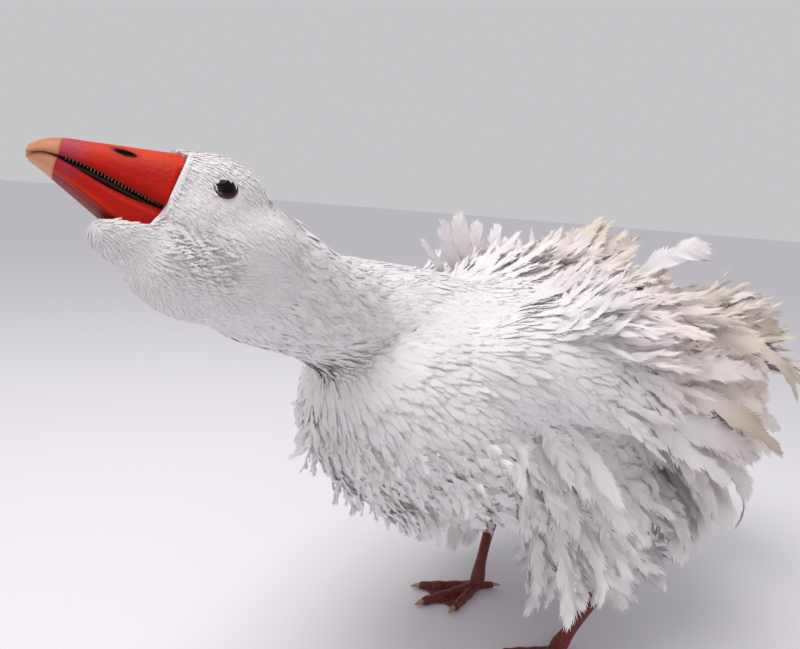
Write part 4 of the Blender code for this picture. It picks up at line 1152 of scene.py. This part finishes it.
def make_lamellae(mouth):
    """The toothed edge on both sides of the open mouth."""
    bm = bmesh.new()
    rng = np.random.default_rng(SEED + 80)
    for index in range(LAMELLAE):
        ahead = LAMELLA_START + LAMELLA_STEP * index
        shown = 1.0 if LAMELLAE_OPEN[0] < ahead < LAMELLAE_OPEN[1] else 0.55
        for side in (1, -1):
            spot = (side * bill_size(ahead, "half") * 0.90, -ahead, bill_size(ahead, "mouth") - 0.0002)
            place = HEAD @ Matrix.Translation(spot) @ turn_about(side * 14, "Y")
            cone = place @ Matrix.Diagonal((0.7, 0.42, shown * rng.uniform(0.55, 1.0), 1.0))
            bmesh.ops.create_cone(bm, cap_ends=True, segments=8, radius1=0.0004, radius2=0.0011,
                                  depth=0.0030, matrix=cone)
    show(plain(made_from(bm, "bill_lamellae"), LAMELLA_HORN), mouth, "bill")


def make_lining(mouth):
    """The lining between the halves of the bill, painted near black as the shade inside the mouth."""
    rings = []
    for ahead, half, culmen, mouth_line, keel in BILL_STATIONS[1:-2]:
        thick = min(0.0034, 0.30 * (mouth_line - keel))
        ring = []
        for step in range(16):
            turn = 2 * math.pi * step / 16
            height = mouth_line - 0.0012 + thick * math.sin(turn)
            ring.append(Vector((half * 0.70 * math.cos(turn), -ahead, height)))
        rings.append(ring)
    show(plain(loft(rings, "mouth_lining"), MOUTH_SHADE), mouth, "bill")


def make_eyes(eye, lid):
    """Dark eyeballs with a brown rim, each in a round lid."""
    for side, word in ((1, "left"), (-1, "right")):
        place = HEAD @ Matrix.Translation((side * EYE_APART, 0.0, 0.0)) @ turn_about(side * EYE_FACING, "Y")
        bm = bmesh.new()
        bmesh.ops.create_uvsphere(bm, u_segments=48, v_segments=32, radius=EYE_RADIUS, matrix=place)
        ball = made_from(bm, f"eyeball_{word}")
        local = (vertex_values(ball.data, "co") - np.array(place.translation)) @ np.array(place)[:3, :3]
        off = np.hypot(local[:, 0], local[:, 1])
        ring = np.exp(-((off - 0.0050) / 0.0007) ** 2)[:, None]
        rim = rise(off, 0.0038, 0.0015)[:, None]
        paint(ball.data, blend(EYE_BLACK, EYE_BROWN, rim * 0.6) + ring * 0.02)
        show(ball, eye, "eyes", f"eye_{word}")
        bm = bmesh.new()
        height = math.sqrt(EYE_RADIUS ** 2 - EYE_SHOWN ** 2)
        middle = place @ Matrix.Translation((0.0, 0.0, height))
        edge = middle @ Matrix.Translation((EYE_SHOWN + 0.0003, 0, 0)) @ turn_about(90, "X")
        circle = bmesh.ops.create_circle(bm, radius=LID_THICKNESS, segments=10, matrix=edge)["verts"]
        bmesh.ops.spin(bm, geom=circle + edges_at(circle), cent=middle.translation, steps=48, use_merge=True,
                       axis=middle.to_3x3() @ Vector((0, 0, 1)), angle=2 * math.pi)
        show(plain(made_from(bm, f"eyelid_{word}"), LID_RED), lid, "eyes")


def toe_way(side, degrees):
    turn = math.radians(degrees)
    return Vector((side * math.sin(turn), -math.cos(turn), 0.0))


def make_web(bm, side, ankle):
    """The web between the three front toes, with its edge drawn in between them."""
    tips = [ankle + length * toe_way(side, degrees) for name, length, degrees, thick in TOES[:3]]
    inner, middle, outer = (ankle + WEB_TIPS * (tip - ankle) for tip in tips)
    hollows = [ankle + WEB_HOLLOWS * ((one + other) / 2 - ankle) for one, other in zip(tips, tips[1:])]
    plan = [ankle - 0.004 * toe_way(side, 0), inner, hollows[0], middle, hollows[1], outer]
    web = bm.faces.new([bm.verts.new((spot.x, spot.y, WEB_BOTTOM)) for spot in plan])
    bmesh.ops.translate(bm, vec=(0, 0, WEB_THICKNESS), verts=pulled(bm, web))
    bmesh.ops.recalc_face_normals(bm, faces=bm.faces[:])


def make_legs(scute, horn):
    """Each leg with its webbed foot as one piece, flat below, and the claws in its toes."""
    for side, word in ((1, "left"), (-1, "right")):
        bm = bmesh.new()
        tube(bm, [((side * x, y, z), radius) for (x, y, z), radius in LEG_LINE], steps=5, around=24)
        ankle = Vector((side * ANKLE.x, ANKLE.y, 0.0))
        for name, length, degrees, thick in TOES:
            line = []
            for share, swell in TOE_SHAPE:
                spot = ankle + share * length * toe_way(side, degrees)
                spot.z = TOE_LIFT + 0.004 * max(0.0, 0.3 - share)
                line.append((tuple(spot), thick * swell))
            tube(bm, line, steps=2, around=14)
        make_web(bm, side, ankle)
        leg = remeshed(made_from(bm, f"shank_and_foot_{word}"), FOOT_VOXEL, FOOT_SMOOTHING)
        places = vertex_values(leg.data, "co")
        places[:, 2] = np.maximum(places[:, 2], 0.0)
        leg.data.vertices.foreach_set("co", places.astype(np.float32).ravel())
        show(plain(leg, LEG_RED), scute, "legs", f"leg_{word}", f"foot_{word}")
        for name, length, degrees, thick in TOES:
            ahead = toe_way(side, degrees)
            root = ankle + (length - CLAW_ROOT) * ahead
            line = []
            for share, width in CLAW_SHAPE:
                spot = root + share * (CLAW + CLAW_ROOT) * ahead
                spot.z = TOE_LIFT + 0.0004 - 0.0016 * share ** 2
                line.append((tuple(spot), thick * width))
            bm = bmesh.new()
            tube(bm, line, steps=3, around=14)
            claw = plain(made_from(bm, f"nail_{word}_{name}"), CLAW_HORN)
            show(claw, horn, "claws", f"claw_{word}_{name}")


def add_node(tree, kind, inputs, **settings):
    """A shader node with its settings. Each input gets a value, or the output of another node."""
    made = tree.nodes.new("ShaderNode" + kind)
    for label, value in settings.items():
        setattr(made, label, value)
    for label, value in inputs.items():
        if isinstance(value, bpy.types.NodeSocket):
            tree.links.new(value, made.inputs[label])
        else:
            made.inputs[label].default_value = value
    return made


def new_material(name, roughness, specular, sheen=0.0):
    material = bpy.data.materials.new(name)
    material.use_nodes = True
    inputs = material.node_tree.nodes["Principled BSDF"].inputs
    inputs["Roughness"].default_value = roughness
    inputs["Specular IOR Level"].default_value = specular
    inputs["Sheen Weight"].default_value = sheen
    return material


def connect(material, factor, relief):
    """Feeds the shader with the paint on the surface times a factor, and with a relief."""
    tree = material.node_tree
    shader = tree.nodes["Principled BSDF"]
    colour = add_node(tree, "Attribute", {}, attribute_name="plumage").outputs["Color"]
    mix = add_node(tree, "Mix", {"Factor": 1.0, "A": colour, "B": factor}, data_type="RGBA",
                   blend_type="MULTIPLY")
    tree.links.new(mix.outputs["Result"], shader.inputs["Base Color"])
    tree.links.new(relief.outputs["Normal"], shader.inputs["Normal"])


def painted_material(name, roughness, bump, scale, depth, mottle, specular):
    """A finish whose colour is painted on the surface, mottled and given grain by fine noise."""
    material = new_material(name, roughness, specular)
    tree = material.node_tree
    where = add_node(tree, "TexCoord", {}).outputs["Object"]
    noise = add_node(tree, "TexNoise", {"Scale": scale, "Detail": 4.0, "Vector": where})
    ramp = add_node(tree, "MapRange", {"To Min": 1.0 - mottle, "To Max": 1.0 + mottle * 0.6,
                                       "Value": noise.outputs["Fac"]})
    if bump == "scutes":
        height = add_node(tree, "TexVoronoi", {"Scale": scale * 1.6, "Vector": where}).outputs["Distance"]
    else:
        grain = {"Scale": scale * 5, "Detail": 3.0, "Vector": where}
        height = add_node(tree, "TexNoise", grain).outputs["Fac"]
    relief = add_node(tree, "Bump", {"Strength": depth, "Distance": 0.001, "Height": height})
    connect(material, ramp.outputs["Result"], relief)
    return material


def plumage_material():
    """Soft white vanes, with fine streaks along the barbs."""
    material = new_material("plumage", 0.75, 0.2, sheen=0.15)
    tree = material.node_tree
    barb = add_node(tree, "Attribute", {}, attribute_name="barb").outputs["Fac"]
    scaled = add_node(tree, "Math", {0: barb, 1: BARBS_PER_METRE}, operation="MULTIPLY").outputs["Value"]
    streak = add_node(tree, "TexNoise", {"Scale": 1.0, "Detail": 2.0, "W": scaled}, noise_dimensions="1D")
    ramp = add_node(tree, "MapRange", {"From Min": 0.3, "From Max": 0.7, "To Min": 0.86, "To Max": 1.04,
                                       "Value": streak.outputs["Fac"]})
    relief = add_node(tree, "Bump", {"Strength": 0.35, "Distance": 0.0006, "Height": streak.outputs["Fac"]})
    connect(material, ramp.outputs["Result"], relief)
    return material


def make_floor():
    bm = bmesh.new()
    bmesh.ops.create_circle(bm, cap_ends=True, radius=FLOOR_RADIUS, segments=96)
    floor = made_from(bm, "floor")
    floor.location.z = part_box("foot_left")[0].z - FLOOR_GAP
    material = new_material("pale floor", 0.85, 0.5)
    material.node_tree.nodes["Principled BSDF"].inputs["Base Color"].default_value = FLOOR_COLOUR
    floor.data.materials.append(material)


def make_light():
    world = bpy.data.worlds.new("overcast")
    world.use_nodes = True
    sky = world.node_tree.nodes["Background"].inputs
    sky["Color"].default_value = SKY_COLOUR
    sky["Strength"].default_value = SKY_STRENGTH
    bpy.context.scene.world = world
    bpy.context.scene.view_settings.view_transform = "Standard"
    for name, place, aim, size, power, colour in LAMPS:
        light = bpy.data.lights.new(name, "AREA")
        light.shape = "DISK"
        light.size = size
        light.energy = power
        light.color = colour
        lamp = linked(name, light)
        lamp.location = Vector(place)
        lamp.rotation_euler = (Vector(aim) - Vector(place)).to_track_quat("-Z", "Y").to_euler()


def make_camera():
    camera = bpy.data.cameras.new("camera")
    camera.lens = CAMERA_LENS
    camera.sensor_width = 36.0
    camera.sensor_fit = "HORIZONTAL"
    camera.clip_start = 0.01
    camera.clip_end = 100.0
    holder = linked("camera", camera)
    yaw, pitch = math.radians(CAMERA_TURN), math.radians(CAMERA_PITCH)
    forward = Vector((-math.sin(yaw) * math.cos(pitch), math.cos(yaw) * math.cos(pitch), -math.sin(pitch)))
    facing = forward.to_track_quat("-Z", "Y").to_matrix().to_4x4()
    holder.matrix_world = Matrix.Translation(CAMERA_PLACE + ORIGIN) @ facing @ turn_about(CAMERA_ROLL, "Z")
    bpy.context.scene.camera = holder


def main():
    plumage = plumage_material()
    finish = {name: painted_material(name, *values) for name, values in FINISHES.items()}
    skin = make_skin()
    tree = BVHTree.FromObject(skin, bpy.context.evaluated_depsgraph_get())
    coat_over(skin, tree, plumage)
    wing_feathers(tree, plumage)
    tail_feathers(plumage)
    great_feathers(plumage)
    make_bill_halves(finish["bill"], finish["bill nail"])
    make_lamellae(finish["mouth"])
    make_lining(finish["mouth"])
    make_eyes(finish["eye"], finish["eyelid"])
    make_legs(finish["leg scales"], finish["claw horn"])
    paint_skin(skin)
    show(skin, finish["down"], "feathers", "head", "neck_upper", "neck_lower", "torso", "wing_left",
         "wing_right", "tail")
    make_floor()
    make_light()
    make_camera()


main()
